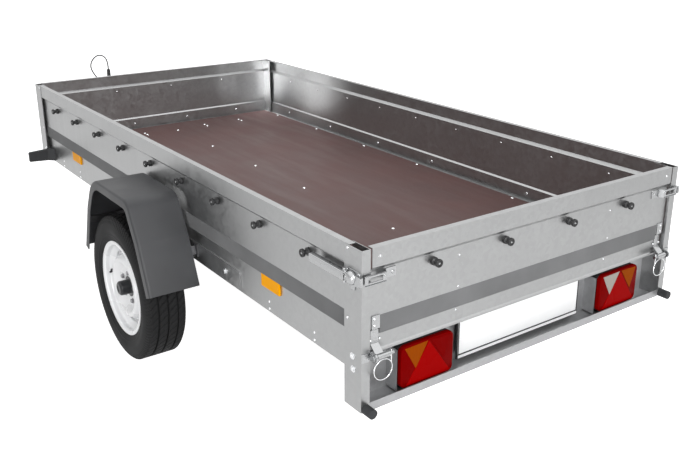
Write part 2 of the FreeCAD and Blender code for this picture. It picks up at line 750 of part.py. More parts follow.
def tyre():
    """Carcass, open to the rim."""
    half = TYRE_WIDTH / 2
    tread = TYRE_TREAD_WIDTH / 2
    shoulder = TYRE_R - TYRE_SHOULDER
    bead = RIM_WIDTH / 2 - RIM_SHEET
    bulge = (TYRE_R + RIM_EDGE_R) / 2
    outer = [
        (RIM_SEAT_R, bead),
        (RIM_EDGE_R, bead),
        (RIM_EDGE_R + TYRE_BEAD_RISE, bead + TYRE_BEAD_FLARE),
        (bulge - TYRE_BULGE_BAND / 2, half),
        (bulge + TYRE_BULGE_BAND / 2, half),
        (shoulder, half - TYRE_SHOULDER_IN),
        (TYRE_R - TYRE_EDGE_DROP, tread + TYRE_EDGE_OUT),
        (TYRE_R - TYRE_CROWN, tread),
        (TYRE_R, tread / 3),
    ]
    inner = [
        (RIM_SEAT_R, bead - 2 * TYRE_WALL),
        (RIM_EDGE_R + TYRE_BEAD_RISE, bead - TYRE_WALL),
        (bulge, half - TYRE_WALL),
        (shoulder - TYRE_WALL, half - TYRE_WALL - TYRE_SHOULDER_IN),
        (TYRE_R - TYRE_TREAD, tread - TYRE_WALL),
    ]
    loop = outer + opposite(outer)[::-1] + opposite(inner) + inner[::-1]
    return turned(loop, wheel_centre(), (1, 0, 0))


def rim():
    """Pressed steel wheel: barrel with a drop centre, and a disc with a raised ring round the hub."""
    bead = RIM_WIDTH / 2 - RIM_SHEET
    barrel = [
        (RIM_EDGE_R, -bead),
        (RIM_SEAT_R, -bead),
        (RIM_SEAT_R, -RIM_WELL_HALF - RIM_WELL_SLOPE),
        (RIM_WELL_R, -RIM_WELL_HALF),
    ]
    barrel += opposite(barrel)[::-1]
    ring_top = WHEEL_OFFSET + DISC_RING_OUT
    disc_r = RIM_WELL_R - RIM_SHEET
    disc = [
        (disc_r, WHEEL_OFFSET - DISC_DISH - DISC_FLANGE),
        (disc_r, WHEEL_OFFSET - DISC_DISH),
        (DISC_RING_R + DISC_RING_FOOT, WHEEL_OFFSET),
        (DISC_RING_R + DISC_RING_TOP, ring_top),
        (DISC_RING_R - DISC_RING_TOP, ring_top),
        (HUB_FLANGE_R, WHEEL_OFFSET + RIM_SHEET),
        (HUB_BODY_R, WHEEL_OFFSET + RIM_SHEET),
    ]
    turns = [turned(sheet_outline(path, RIM_SHEET), wheel_centre(), (1, 0, 0)) for path in (barrel, disc)]
    return fused(turns)


def hub():
    """Hub on the stub axle: body, flange behind the disc and grease cap in front of it."""
    face = WHEEL_OFFSET
    cap_end = face + RIM_SHEET + HUB_CAP_LENGTH
    bore = STUB_R + STUB_CLEARANCE
    bore_end = face + STUB_PAST_DISC + STUB_END_GAP
    profile = [
        (bore, -HUB_BODY_BACK),
        (HUB_BODY_R, -HUB_BODY_BACK),
        (HUB_BODY_R, face - HUB_FLANGE),
        (HUB_FLANGE_R, face - HUB_FLANGE),
        (HUB_FLANGE_R, face),
        (HUB_BODY_R, face),
        (HUB_BODY_R, face + RIM_SHEET),
        (HUB_CAP_R, face + RIM_SHEET),
        (HUB_CAP_R, cap_end - HUB_CAP_EDGE),
        (HUB_CAP_R - HUB_CAP_EDGE, cap_end),
        (0, cap_end),
        (0, bore_end),
        (bore, bore_end),
    ]
    return turned(profile, wheel_centre(), (1, 0, 0))


def axle_beam():
    half = BEAM_SIZE / 2
    outer = block((-BEAM_HALF, BEAM_Y - half, BEAM_Z - half), (BEAM_HALF, BEAM_Y + half, BEAM_Z + half))
    inner_half = half - BEAM_WALL
    inner = block((-BEAM_HALF, BEAM_Y - inner_half, BEAM_Z - inner_half),
                  (BEAM_HALF, BEAM_Y + inner_half, BEAM_Z + inner_half))
    shapes = [outer.cut(inner)]
    plate_x = HALF_WIDTH - WALL_SKIRT - RAIL_FLANGE / 2
    outline = [
        (BEAM_Y - half, BEAM_Z + half), (BEAM_Y + half, BEAM_Z + half),
        (BEAM_Y + BEAM_BRACKET_TOP / 2, RAIL_BOTTOM), (BEAM_Y - BEAM_BRACKET_TOP / 2, RAIL_BOTTOM),
    ]
    web = prism(outline, "YZ", plate_x, plate_x + BEAM_BRACKET_SHEET)
    pad = block((plate_x - RAIL_FLANGE / 2, BEAM_Y - BEAM_BRACKET_TOP / 2, RAIL_BOTTOM - BEAM_BRACKET_SHEET),
                (plate_x + RAIL_FLANGE / 2, BEAM_Y + BEAM_BRACKET_TOP / 2, RAIL_BOTTOM))
    foot = block((plate_x - RAIL_FLANGE / 2, BEAM_Y - half, BEAM_Z + half),
                 (plate_x + RAIL_FLANGE / 2, BEAM_Y + half, BEAM_Z + half + BEAM_BRACKET_SHEET))
    for piece in (web, pad, foot):
        shapes += [piece, mirrored(piece)]
    return fused(shapes)


def trailing_arm():
    """Right arm from the rubber-sprung beam back and down to the stub axle."""
    inner, outer = BEAM_HALF, BEAM_HALF + TRAIL_ARM_THICKNESS
    beam_boss = rod(TRAIL_ARM_BEAM_R, (inner, BEAM_Y, BEAM_Z), (outer, BEAM_Y, BEAM_Z))
    stub_boss = rod(TRAIL_ARM_STUB_R, (inner, AXLE_Y, AXLE_Z), (outer, AXLE_Y, AXLE_Z))
    along = Vector(0, BEAM_Y - AXLE_Y, BEAM_Z - AXLE_Z)
    distance = along.Length
    tilt = math.asin((TRAIL_ARM_BEAM_R - TRAIL_ARM_STUB_R) / distance)
    heading = math.atan2(along.z, along.y)
    corners = []
    for centre, radius in (((AXLE_Y, AXLE_Z), TRAIL_ARM_STUB_R), ((BEAM_Y, BEAM_Z), TRAIL_ARM_BEAM_R)):
        for side in (1, -1):
            angle = heading + side * (math.pi / 2 + tilt)
            corners.append((centre[0] + radius * math.cos(angle), centre[1] + radius * math.sin(angle)))
    bar = prism([corners[0], corners[1], corners[3], corners[2]], "YZ", inner, outer)
    stub_end = TRACK_HALF + WHEEL_OFFSET + STUB_PAST_DISC
    stub = rod(STUB_R, (outer, AXLE_Y, AXLE_Z), (stub_end, AXLE_Y, AXLE_Z))
    return fused([beam_boss, stub_boss, bar, stub])


# Mudguards, drawn for the right side

def rounded_path(points, radii):
    """Edges through points, with each inner corner rounded by its own radius."""
    edges = []
    last = Vector(0, *points[0])
    for before, corner, after, radius in zip(points, points[1:], points[2:], radii):
        corner = Vector(0, *corner)
        back = (Vector(0, *before) - corner).normalize()
        ahead = (Vector(0, *after) - corner).normalize()
        half = back.getAngle(ahead) / 2
        reach = radius / math.tan(half)
        start, end = corner + back * reach, corner + ahead * reach
        towards = (back + ahead).normalize()
        middle = corner + towards * (radius / math.sin(half) - radius)
        edges.append(Part.LineSegment(last, start).toShape())
        edges.append(Part.Arc(start, middle, end).toShape())
        last = end
    edges.append(Part.LineSegment(last, Vector(0, *points[-1])).toShape())
    return edges


def guard_points(inset):
    """Outline of the arch from its front foot to its rear foot, moved in by inset."""
    points = [
        GUARD_FRONT_FOOT,
        GUARD_FRONT_KNEE,
        (GUARD_FRONT_CORNER, GUARD_TOP),
        (GUARD_REAR_CORNER, GUARD_TOP),
        GUARD_REAR_KNEE,
        GUARD_REAR_FOOT,
    ]
    moved_in = sheet_outline(points, inset)[len(points):]
    return moved_in[::-1]


def guard_solid(inset, start, end):
    """The arch filled in to the line between its feet, from start to end across the trailer."""
    radii = [GUARD_KNEE_R, GUARD_FRONT_CORNER_R, GUARD_REAR_CORNER_R, GUARD_KNEE_R]
    radii = [max(radius - inset, GUARD_SHEET) for radius in radii]
    edges = rounded_path(guard_points(inset), radii)
    first = edges[0].Vertexes[0].Point
    last = edges[-1].Vertexes[-1].Point
    edges.append(Part.LineSegment(last, first).toShape())
    face = Part.Face(Part.Wire(edges))
    face.translate(Vector(start, 0, 0))
    return face.extrude(Vector(end - start, 0, 0))


def mudguard():
    """Black plastic arch with a lip round its outer side."""
    shell = guard_solid(0.0, GUARD_INNER, GUARD_OUTER)
    hollow = guard_solid(GUARD_SHEET, GUARD_INNER - 1, GUARD_OUTER - GUARD_SHEET)
    window = guard_solid(GUARD_LIP, GUARD_INNER - 1, GUARD_OUTER + 1)
    return shell.cut(hollow).cut(window)


def mudguard_stay(foot, knee):
    """Flat bar from the side plate out along the inside of the mudguard."""
    share = (STAY_Z - foot[1]) / (knee[1] - foot[1])
    surface_y = foot[0] + share * (knee[0] - foot[0])
    slope = math.atan2(knee[1] - foot[1], knee[0] - foot[0])
    inward = -1 if foot[0] > AXLE_Y else 1
    normal = (inward * math.sin(slope), -inward * math.cos(slope))
    if normal[0] * inward < 0:
        normal = (-normal[0], -normal[1])
    along = (math.cos(slope), math.sin(slope))
    face = HALF_WIDTH - WALL_SKIRT + PLATE_THICKNESS
    corners = []
    for depth, reach in ((GUARD_SHEET, -1), (GUARD_SHEET, 1), (GUARD_SHEET + STAY_THICKNESS, 1),
                         (GUARD_SHEET + STAY_THICKNESS, -1)):
        corners.append((surface_y + normal[0] * depth + along[0] * reach * STAY_WIDTH / 2,
                        STAY_Z + normal[1] * depth + along[1] * reach * STAY_WIDTH / 2))
    bar = prism(corners, "YZ", face, GUARD_OUTER - 2 * GUARD_SHEET)
    middle_y = surface_y + normal[0] * (GUARD_SHEET + STAY_THICKNESS / 2)
    pad = block((face, middle_y - STAY_WIDTH / 2, STAY_Z - STAY_FOOT_HEIGHT / 2),
                (face + STAY_THICKNESS, middle_y + STAY_WIDTH / 2, STAY_Z + STAY_FOOT_HEIGHT / 2))
    return fused([bar, pad])


def mudguard_stays():
    front = mudguard_stay(GUARD_FRONT_FOOT, GUARD_FRONT_KNEE)
    rear = mudguard_stay(GUARD_REAR_FOOT, GUARD_REAR_KNEE)
    return Part.Compound([front, rear, mirrored(front), mirrored(rear)])


# Drawbar, coupling and jockey wheel

def drawbar():
    half = DRAWBAR_SIZE / 2
    outer = block((-half, DRAWBAR_REAR, DRAWBAR_BOTTOM), (half, DRAWBAR_FRONT, DRAWBAR_TOP))
    inner = block((-half + DRAWBAR_WALL, DRAWBAR_REAR, DRAWBAR_BOTTOM + DRAWBAR_WALL),
                  (half - DRAWBAR_WALL, DRAWBAR_FRONT, DRAWBAR_TOP - DRAWBAR_WALL))
    return outer.cut(inner)


def drawbar_clamp(middle, seat):
    """Strap under the drawbar, bolted up to a frame member whose lower face is at seat."""
    half = DRAWBAR_SIZE / 2
    path = [
        (-half - CLAMP_SHEET - CLAMP_EAR, seat - CLAMP_SHEET),
        (-half - CLAMP_SHEET, seat - CLAMP_SHEET),
        (-half - CLAMP_SHEET, DRAWBAR_BOTTOM - CLAMP_SHEET),
        (half + CLAMP_SHEET, DRAWBAR_BOTTOM - CLAMP_SHEET),
        (half + CLAMP_SHEET, seat - CLAMP_SHEET),
        (half + CLAMP_SHEET + CLAMP_EAR, seat - CLAMP_SHEET),
    ]
    return prism(sheet_outline(path, CLAMP_SHEET), "XZ", middle - CLAMP_WIDTH / 2, middle + CLAMP_WIDTH / 2)


def drawbar_clamps():
    clamps = [drawbar_clamp(FRAME_FRONT - CLAMP_WIDTH / 2, RAIL_BOTTOM)]
    for place in CROSS_PLACES[:2]:
        clamps.append(drawbar_clamp(place - CLAMP_WIDTH / 2, RAIL_BOTTOM + RAIL_SHEET))
    return Part.Compound(clamps)


def domed_rod(radius, place, low, high):
    """Upright cylinder on the centre line from low to high, with a half ball on top."""
    base, rim = Vector(radius, place, low), Vector(radius, place, high)
    top, foot = Vector(0, place, high + radius), Vector(0, place, low)
    slant = radius * math.sqrt(0.5)
    edges = [
        Part.LineSegment(foot, base).toShape(),
        Part.LineSegment(base, rim).toShape(),
        Part.Arc(rim, Vector(slant, place, high + slant), top).toShape(),
        Part.LineSegment(top, foot).toShape(),
    ]
    face = Part.Face(Part.Wire(edges))
    face.rotate(foot, Vector(0, 0, 1), HEAD_SEAM_TURN)
    return face.revolve(foot, Vector(0, 0, 1), 360)


def upright_frame(half, place, low, high):
    """Closed rectangle across the centre line."""
    outline = [(-half, low), (half, low), (half, high), (-half, high)]
    corners = [Vector(x, place, z) for x, z in outline]
    return Part.makePolygon(corners + corners[:1])


def coupling_head():
    """Collar over the drawbar's end, a neck that narrows, and a cup with the ball's socket."""
    half = DRAWBAR_SIZE / 2
    outer_half = half + HEAD_SHEET
    collar_rear = DRAWBAR_FRONT - HEAD_COLLAR
    collar_top = DRAWBAR_TOP + HEAD_SHEET
    collar = block((-outer_half, collar_rear, DRAWBAR_BOTTOM), (outer_half, DRAWBAR_FRONT, collar_top))
    tube_space = block((-half, collar_rear, DRAWBAR_BOTTOM), (half, DRAWBAR_FRONT, DRAWBAR_TOP))
    neck_rear = upright_frame(outer_half, DRAWBAR_FRONT, DRAWBAR_BOTTOM, collar_top)
    neck_front = upright_frame(HEAD_NECK_HALF, BALL_Y - HEAD_NECK_SHORT, BALL_MOUTH_Z + HEAD_NECK_RISE,
                               DRAWBAR_TOP - HEAD_NECK_DROP)
    neck = Part.makeLoft([neck_rear, neck_front], True, True)
    dome_z = BALL_MOUTH_Z + BALL_WALL_LENGTH
    cup = domed_rod(HEAD_R, BALL_Y, BALL_MOUTH_Z, dome_z)
    pad = block((-HANDLE_WIDTH / 2, BALL_Y - HEAD_R / 2, dome_z),
                (HANDLE_WIDTH / 2, BALL_Y + HEAD_R / 2, HEAD_PAD_TOP))
    socket = domed_rod(BALL_R, BALL_Y, BALL_MOUTH_Z - 1, dome_z)
    return fused([collar.cut(tube_space), neck, cup, pad]).cut(socket)


def coupling_handle():
    front = BALL_Y + HEAD_R / 2
    path = [
        (front, HEAD_PAD_TOP),
        (BALL_Y - HEAD_R / 2, HEAD_PAD_TOP),
        (BALL_Y - HEAD_R / 2 - HANDLE_LENGTH / 3, HEAD_PAD_TOP + HANDLE_RISE),
        (BALL_Y - HANDLE_LENGTH, HEAD_PAD_TOP + HANDLE_RISE),
    ]
    outline = sheet_outline(path[::-1], HANDLE_SHEET)
    return prism(outline, "YZ", -HANDLE_WIDTH / 2, HANDLE_WIDTH / 2)


def jack_clamp():
    """Clamp on the drawbar's right side, with the jockey wheel's outer tube and its crank."""
    half = DRAWBAR_SIZE / 2
    middle_z = (DRAWBAR_BOTTOM + DRAWBAR_TOP) / 2
    low, high = middle_z - JACK_CLAMP_HEIGHT / 2, middle_z + JACK_CLAMP_HEIGHT / 2
    reach = JACK_OUTER_R + JACK_CLAMP_WALL
    plate = block((half, JACK_Y - reach, low), (half + JACK_CLAMP_WALL, JACK_Y + reach, high))
    web = block((half, JACK_Y - JACK_CLAMP_WALL, low), (JACK_X, JACK_Y + JACK_CLAMP_WALL, high))
    collar = rod(reach, (JACK_X, JACK_Y, low), (JACK_X, JACK_Y, high))
    tube = rod(JACK_OUTER_R, (JACK_X, JACK_Y, JACK_OUTER_BOTTOM), (JACK_X, JACK_Y, JACK_OUTER_TOP))
    bore = rod(JACK_INNER_R + JACK_RUN_GAP, (JACK_X, JACK_Y, JACK_OUTER_BOTTOM - 1),
               (JACK_X, JACK_Y, JACK_OUTER_TOP - JACK_TUBE_WALL))
    crank_z = JACK_OUTER_TOP + CRANK_RISE
    spindle = rod(CRANK_R, (JACK_X, JACK_Y, JACK_OUTER_TOP - JACK_TUBE_WALL), (JACK_X, JACK_Y, crank_z))
    arm = rod(CRANK_R, (JACK_X, JACK_Y + CRANK_R, crank_z), (JACK_X, JACK_Y - CRANK_LENGTH, crank_z))
    return fused([plate, web, collar, tube]).cut(bore).fuse(spindle).fuse(arm).removeSplitter()


def jack_tube():
    """Inner tube, closed at its lower end round the fork's stem."""
    low = JACK_CROWN_TOP + JACK_END_GAP
    tube = rod(JACK_INNER_R, (JACK_X, JACK_Y, low), (JACK_X, JACK_Y, JACK_INNER_TOP))
    plug_top = low + JACK_PLUG
    space_r = JACK_INNER_R - JACK_TUBE_WALL
    space = rod(space_r, (JACK_X, JACK_Y, plug_top), (JACK_X, JACK_Y, JACK_INNER_TOP + 1))
    bore = rod(JACK_STEM_R + PIN_CLEARANCE, (JACK_X, JACK_Y, low - 1), (JACK_X, JACK_Y, plug_top + 1))
    return tube.cut(space).cut(bore)


def jack_fork():
    """Fork with its crown, the stem it swivels on and the wheel's axle pin."""
    inner = JACK_WHEEL_WIDTH / 2 + JACK_FORK_GAP
    outer = inner + JACK_FORK_SHEET
    axle_y = JACK_Y - JACK_TRAIL
    rear, front = axle_y - JACK_FORK_BACK, JACK_Y + JACK_INNER_R
    crown_low = JACK_CROWN_TOP - JACK_CROWN
    crown = block((JACK_X - outer, rear, crown_low), (JACK_X + outer, front, JACK_CROWN_TOP))
    outline = [
        (rear, JACK_CROWN_TOP),
        (front, JACK_CROWN_TOP),
        (axle_y + JACK_HUB_R, JACK_WHEEL_R - JACK_HUB_R),
        (axle_y - JACK_HUB_R, JACK_WHEEL_R - JACK_HUB_R),
    ]
    starts = (JACK_X - outer, JACK_X + inner)
    cheeks = [prism(outline, "YZ", start, start + JACK_FORK_SHEET) for start in starts]
    stem_top = JACK_CROWN_TOP + JACK_STEM_RISE
    stem = rod(JACK_STEM_R, (JACK_X, JACK_Y, crown_low), (JACK_X, JACK_Y, stem_top))
    left, right = JACK_X - outer - JACK_PIN_HEAD, JACK_X + outer + JACK_PIN_HEAD
    pin = rod(JACK_PIN_R, (left, axle_y, JACK_WHEEL_R), (right, axle_y, JACK_WHEEL_R))
    return fused([crown] + cheeks + [stem, pin])


def jack_wheel():
    """Solid rubber tyre on a wheel with a thin web and a long hub."""
    half = JACK_WHEEL_WIDTH / 2
    bore = JACK_PIN_R + PIN_CLEARANCE
    hub_half = half + JACK_FORK_GAP - JACK_HUB_GAP
    profile = [
        (bore, -hub_half),
        (JACK_HUB_R, -hub_half),
        (JACK_HUB_R, -JACK_WEB_HALF),
        (JACK_WEB_R, -JACK_WEB_HALF),
        (JACK_TYRE_IN_R, -half),
        (JACK_WHEEL_R - JACK_TYRE_EDGE, -half),
        (JACK_WHEEL_R, -half + JACK_TYRE_EDGE),
    ]
    return turned(profile + opposite(profile)[::-1], (JACK_X, JACK_Y - JACK_TRAIL, JACK_WHEEL_R), (1, 0, 0))


# Lead, plug and plug holder

def plug_holder():
    """Upright strip on the drawbar with the cup in which the plug is parked."""
    strip_y = PLUG_Y - HOLDER_R
    strip_half = POST_STRIP / 2
    cup_bottom = PLUG_BOTTOM - HOLDER_FLOOR
    cup_top = cup_bottom + HOLDER_HEIGHT
    strip = block((-strip_half, strip_y - POST_STRIP_SHEET, DRAWBAR_TOP), (strip_half, strip_y, cup_top))
    foot = block((-strip_half, strip_y - POST_STRIP, DRAWBAR_TOP),
                 (strip_half, strip_y, DRAWBAR_TOP + POST_STRIP_SHEET))
    cup = rod(HOLDER_R, (0, PLUG_Y, cup_bottom), (0, PLUG_Y, cup_top))
    lug = block((-strip_half, strip_y, cup_bottom), (strip_half, PLUG_Y, cup_top))
    bore = rod(HOLDER_BORE_R, (0, PLUG_Y, PLUG_BOTTOM), (0, PLUG_Y, PLUG_BOTTOM + HOLDER_HEIGHT + 1))
    return fused([strip, foot, cup, lug]).cut(bore)


def plug():
    neck_top = PLUG_HEIGHT + PLUG_NECK
    profile = [
        (0, 0),
        (PLUG_R, 0),
        (PLUG_R, PLUG_HEIGHT),
        (PLUG_NECK_R + PLUG_NECK_FLARE, PLUG_HEIGHT + PLUG_SLOPE),
        (PLUG_NECK_R, neck_top),
        (0, neck_top),
    ]
    return turned(profile, (0, PLUG_Y, PLUG_BOTTOM), (0, 0, 1))


def lead_gland():
    return rod(GLAND_R, (0, LEAD_EXIT_Y, DRAWBAR_TOP), (0, LEAD_EXIT_Y, DRAWBAR_TOP + GLAND_LENGTH))


def lead_points():
    """Route of the lead: up out of its gland, past the plug, over in a loop and down into the plug."""
    exit_z = DRAWBAR_TOP + GLAND_LENGTH
    plug_top = PLUG_BOTTOM + PLUG_HEIGHT + PLUG_NECK
    return [
        (0, LEAD_EXIT_Y, exit_z),
        (0, LEAD_EXIT_Y, exit_z + 40),
        (-12, LEAD_EXIT_Y - 4, exit_z + 86),
        (-31, LEAD_EXIT_Y - 7, exit_z + 136),
        (-53, PLUG_Y + 39, plug_top - 60),
        (-77, PLUG_Y + 56, plug_top - 20),
        (-87, PLUG_Y + 63, plug_top + 20),
        (-73, PLUG_Y + 53, plug_top + 60),
        (-46, PLUG_Y + 33, plug_top + 86),
        (-15, PLUG_Y + 11, plug_top + 80),
        (0, PLUG_Y, plug_top + 45),
        (0, PLUG_Y, plug_top),
    ]


def lead():
    """Tube of straight runs joined by tangent arcs; prints its length and its radii."""
    points = [Vector(*point) for point in lead_points()]
    edges = []
    radii = []
    last = points[0]
    for before, corner, after in zip(points, points[1:], points[2:]):
        back = before - corner
        ahead = after - corner
        shorter = min(back.Length, ahead.Length)
        back.normalize()
        ahead.normalize()
        half_turn = (math.pi - back.getAngle(ahead)) / 2
        reach = LEAD_ARC_SHARE * shorter
        radius = reach / math.tan(half_turn)
        radii.append(round(radius))
        start, end = corner + back * reach, corner + ahead * reach
        towards = (back + ahead).normalize()
        middle = corner + towards * (radius / math.cos(half_turn) - radius)
        edges.append(Part.LineSegment(last, start).toShape())
        edges.append(Part.Arc(start, middle, end).toShape())
        last = end
    edges.append(Part.LineSegment(last, points[-1]).toShape())
    path = Part.Wire(edges)
    direction = points[1] - points[0]
    section = Part.Wire(Part.makeCircle(LEAD_R, points[0], direction))
    tube = path.makePipeShell([section], True, True)
    expected = math.pi * LEAD_R ** 2 * path.Length
    print("lead length", round(path.Length), "radii", radii, "volume ratio", round(tube.Volume / expected, 4))
    return tube


def build():
    os.makedirs("parts", exist_ok=True)
    save("frame_rail_left", frame_rail())
    save("frame_rail_right", mirrored(frame_rail()))
    members = [front_member(), rear_member()] + [cross_member(place) for place in CROSS_PLACES]
    save("cross_members", Part.Compound(members))
    save("side_plates", both_sides(side_plate()))
    save("floor_board", floor_board())
    save("wall_left", side_wall())
    save("wall_right", mirrored(side_wall()))
    save("wall_front", front_wall())
    save("rear_posts", both_sides(rear_post()))
    save("front_posts", both_sides(front_post()))
    save("tailgate_panel", gate_panel())
    save("tailgate_hinges", both_sides(hinge_strap()))
    save("tailgate_keepers", both_sides(keeper()))
    save("tailgate_knobs", gate_knobs())
    save("hinge_brackets", both_sides(hinge_bracket()))
    save("hinge_rings", both_sides(ring_clip()))
    save("latches", both_sides(latch()))
    save("light_bar", light_bar())
    save("lamp_brackets", both_sides(lamp_bracket()))
    save("lamp_housings", both_sides(lamp_housing()))
    save("lamp_lenses", both_sides(lamp_lens()))
    save("plate_holder", plate_holder())
    save("number_plate", number_plate())
    save("rear_buffers", both_sides(buffer()))
    save("wall_knobs", wall_knobs())
    save("side_reflectors", reflectors())
    save("marker_arms", both_sides(marker_arm()))
    save("axle_beam", axle_beam())
    save("trailing_arms", both_sides(trailing_arm()))
    save("mudguard_right", mudguard())
    save("mudguard_left", mirrored(mudguard()))
    save("mudguard_stays", mudguard_stays())
    for piece, shape in (("tyre", tyre()), ("rim", rim()), ("hub", hub())):
        save(piece + "_right", shape)
        save(piece + "_left", mirrored(shape))
    save("drawbar", drawbar())
    save("drawbar_clamps", drawbar_clamps())
    save("coupling_head", coupling_head())
    save("coupling_handle", coupling_handle())
    save("jack_clamp", jack_clamp())
    save("jack_tube", jack_tube())
    save("jack_fork", jack_fork())
    save("jack_wheel", jack_wheel())
    save("plug_holder", plug_holder())
    save("plug", plug())
    save("lead_gland", lead_gland())
    save("lead", lead())


build()
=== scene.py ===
import json
import math

import bmesh
import bpy
from mathutils import Matrix, Vector


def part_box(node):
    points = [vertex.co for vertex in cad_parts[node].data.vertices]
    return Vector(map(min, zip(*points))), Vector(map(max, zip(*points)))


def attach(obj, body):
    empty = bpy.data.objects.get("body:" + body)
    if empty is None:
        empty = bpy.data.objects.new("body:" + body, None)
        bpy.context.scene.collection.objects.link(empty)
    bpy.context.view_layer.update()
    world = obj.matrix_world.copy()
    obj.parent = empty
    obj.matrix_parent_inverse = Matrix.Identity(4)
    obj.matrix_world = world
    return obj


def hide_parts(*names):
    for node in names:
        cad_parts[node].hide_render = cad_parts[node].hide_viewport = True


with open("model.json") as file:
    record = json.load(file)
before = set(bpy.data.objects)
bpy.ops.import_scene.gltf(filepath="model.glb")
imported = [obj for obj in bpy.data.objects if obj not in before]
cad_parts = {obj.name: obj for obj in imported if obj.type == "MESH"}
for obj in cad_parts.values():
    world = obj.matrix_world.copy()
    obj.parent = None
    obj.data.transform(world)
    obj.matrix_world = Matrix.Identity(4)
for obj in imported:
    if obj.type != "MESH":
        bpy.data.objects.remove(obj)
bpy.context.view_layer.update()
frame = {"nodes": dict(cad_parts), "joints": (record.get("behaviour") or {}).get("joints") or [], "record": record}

# Looks of the utility trailer, in metres, in the model's own frame: +Y forward, +X right, +Z up.


def joint_place(name):
    return [joint["pos_m"] for joint in frame["joints"] if joint["name"] == name][0]


# View of the photograph, in pixels where the name says so
CAMERA_PLACE = (-1.8132, -3.4237, 1.5836)
CAMERA_HEADING = math.radians(35.909)
CAMERA_PITCH = math.radians(-19.173)
CAMERA_ROLL = math.radians(0.126)
PHOTO_PIXELS = (700, 467)
FOCAL_PIXELS = 854.98
PRINCIPAL_PIXEL = (354.65, 210.40)
SENSOR = 36.0

# Faces that meet at a smaller angle than this, in degrees, are shaded as one
FLAT = 0
SOLID_ANGLE = 32
TREAD_ANGLE = 28
FORM_ANGLE = 35
SMALL_ANGLE = 40

# Box, from the solids, and how far its panels and their skirts lie inside the posts' faces
posts_low, posts_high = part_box("rear_posts")
HALF_WIDTH = posts_high.x
REAR = posts_low.y
POST_SIDE = posts_high.y - REAR
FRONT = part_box("front_posts")[1].y
FLOOR_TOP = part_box("floor_board")[1].z
SIDE_PLATE_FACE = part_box("side_plates")[1].x
BAR_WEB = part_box("light_bar")[1].y
SHEET = 0.002
CREASE = 0.566
WALL_PANEL = 0.012
WALL_SKIRT = 0.018
GATE_PANEL = REAR + 0.010
GATE_SKIRT = REAR + 0.016

# Stripes
STRIPE_FROM_TO = (0.549, 0.600)
STRIPE_THICKNESS = 0.0004
SIDE_STRIPE = (-1.771, 0.761)
GATE_STRIPE_HALF = 0.583

# Wheels, whose tyres stand on the floor
WHEEL_X, AXLE_Y, TYRE_R = joint_place("wheel_right_spin")
TREAD_HALF = 0.062
TREAD_GROOVES = (0.036, 0.0, -0.036)
GROOVE_HALF = 0.0038
GROOVE_FLOOR_HALF = GROOVE_HALF * 0.7
GROOVE_DEPTH = 0.007
SHOULDER_R = 0.250
TYRE_STEPS = 480
SIPE_EVERY = 8
SIPE_DEPTH = 0.006
SHOULDER_SIPE_EVERY = 4
SHOULDER_SIPE_DEPTH = 0.0035
SIPE_SLANT = 0.004
RIM_STEPS = 108
RIM_SLOTS = 12
SLOT_STEPS = 3
SLOT_SINK = 0.003
STUB_BORE_R = 0.01705
BOLT_COUNT = 5
BOLT_CIRCLE_R = 0.056
BOLT_R = 0.0085
BOLT_TURN = 0.35
VALVE_CIRCLE_R = 0.152
VALVE_ANGLE = math.radians(5)

# Knobs: first place, last place and count of each row
KNOB_Z = 0.7075
KNOB_PLACES = (-1.586, 0.5636, 9)
GATE_KNOB_PLACES = (-0.4035, 0.4035, 4)

# Hinge rings
HINGE_Y, HINGE_Z = joint_place("tailgate_hinge")[1:]
RING_PEG_X = 0.563
RING_PEG_R = 0.002
RING_PEG_TOP = 0.010
RING_R = 0.030
RING_WIRE_R = 0.0016
RING_DROP = 0.028
RING_LEAN = 0.47

# Lamps, from the solids
lenses_low, lenses_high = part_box("lamp_lenses")
LAMP_WIDTH = 0.190
LAMP_X = lenses_high.x - LAMP_WIDTH / 2
LAMP_BOTTOM = lenses_low.z
LAMP_TOP = lenses_high.z
LAMP_FACE = lenses_low.y
LENS_DEPTH = lenses_high.y - LAMP_FACE
LENS_CORNER_R = 0.018
FACET_SUNK = 0.0008
FACET_DEPTH = 0.0022
CHEEK_HALF = 0.001

# Number plate, from the solids, and the lines round it
plate_low, plate_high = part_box("number_plate")
PLATE_LINE = 0.0028
PLATE_STRIP = (-0.0098, -0.0012)
PLATE_STRIP_LINE = (-0.0120, -0.0100)

# Keepers, from the solids: a foot on the gate's panel and a strap across the post
keepers_low, keepers_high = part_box("tailgate_keepers")
KEEPER_OUT = keepers_high.x
KEEPER_IN = 0.534
KEEPER_KNEE = KEEPER_IN + 0.044
KEEPER_JOGGLE = 0.010
KEEPER_SHEET = 0.003
KEEPER_WINDOW = (KEEPER_KNEE + 0.010, KEEPER_OUT - 0.012)
KEEPER_WINDOW_EDGE = 0.007
KEEPER_LIP = 0.0035
KEEPER_LIP_SHEET = 0.0015

# Latches, their places ahead of the box's rear edge
latches_low, latches_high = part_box("latches")
LATCH_Z = (latches_low.z + latches_high.z) / 2
LATCH_HALF = 0.022
LATCH_MIDDLE = REAR + 0.035
LATCH_PLATE = (REAR + 0.004, REAR + 0.066)
LATCH_CORNER_R = 0.010
LATCH_SHEET = 0.003
LATCH_RIVETS = (0.024, 0.016)
DOME_R = 0.019
LEVER_OUT = 0.020
LEVER_HALF = 0.012
LEVER_SHEET = 0.0015
LEVER_BANDS = (REAR + 0.046, REAR + 0.056, REAR + 0.064)
HOOK_BAR_R = 0.0045
HOOK_BAR_HALF = 0.020
CLAW_OUT = (0.0015, 0.010)
CLAW_FROM_TO = (REAR - 0.008, REAR + 0.024)

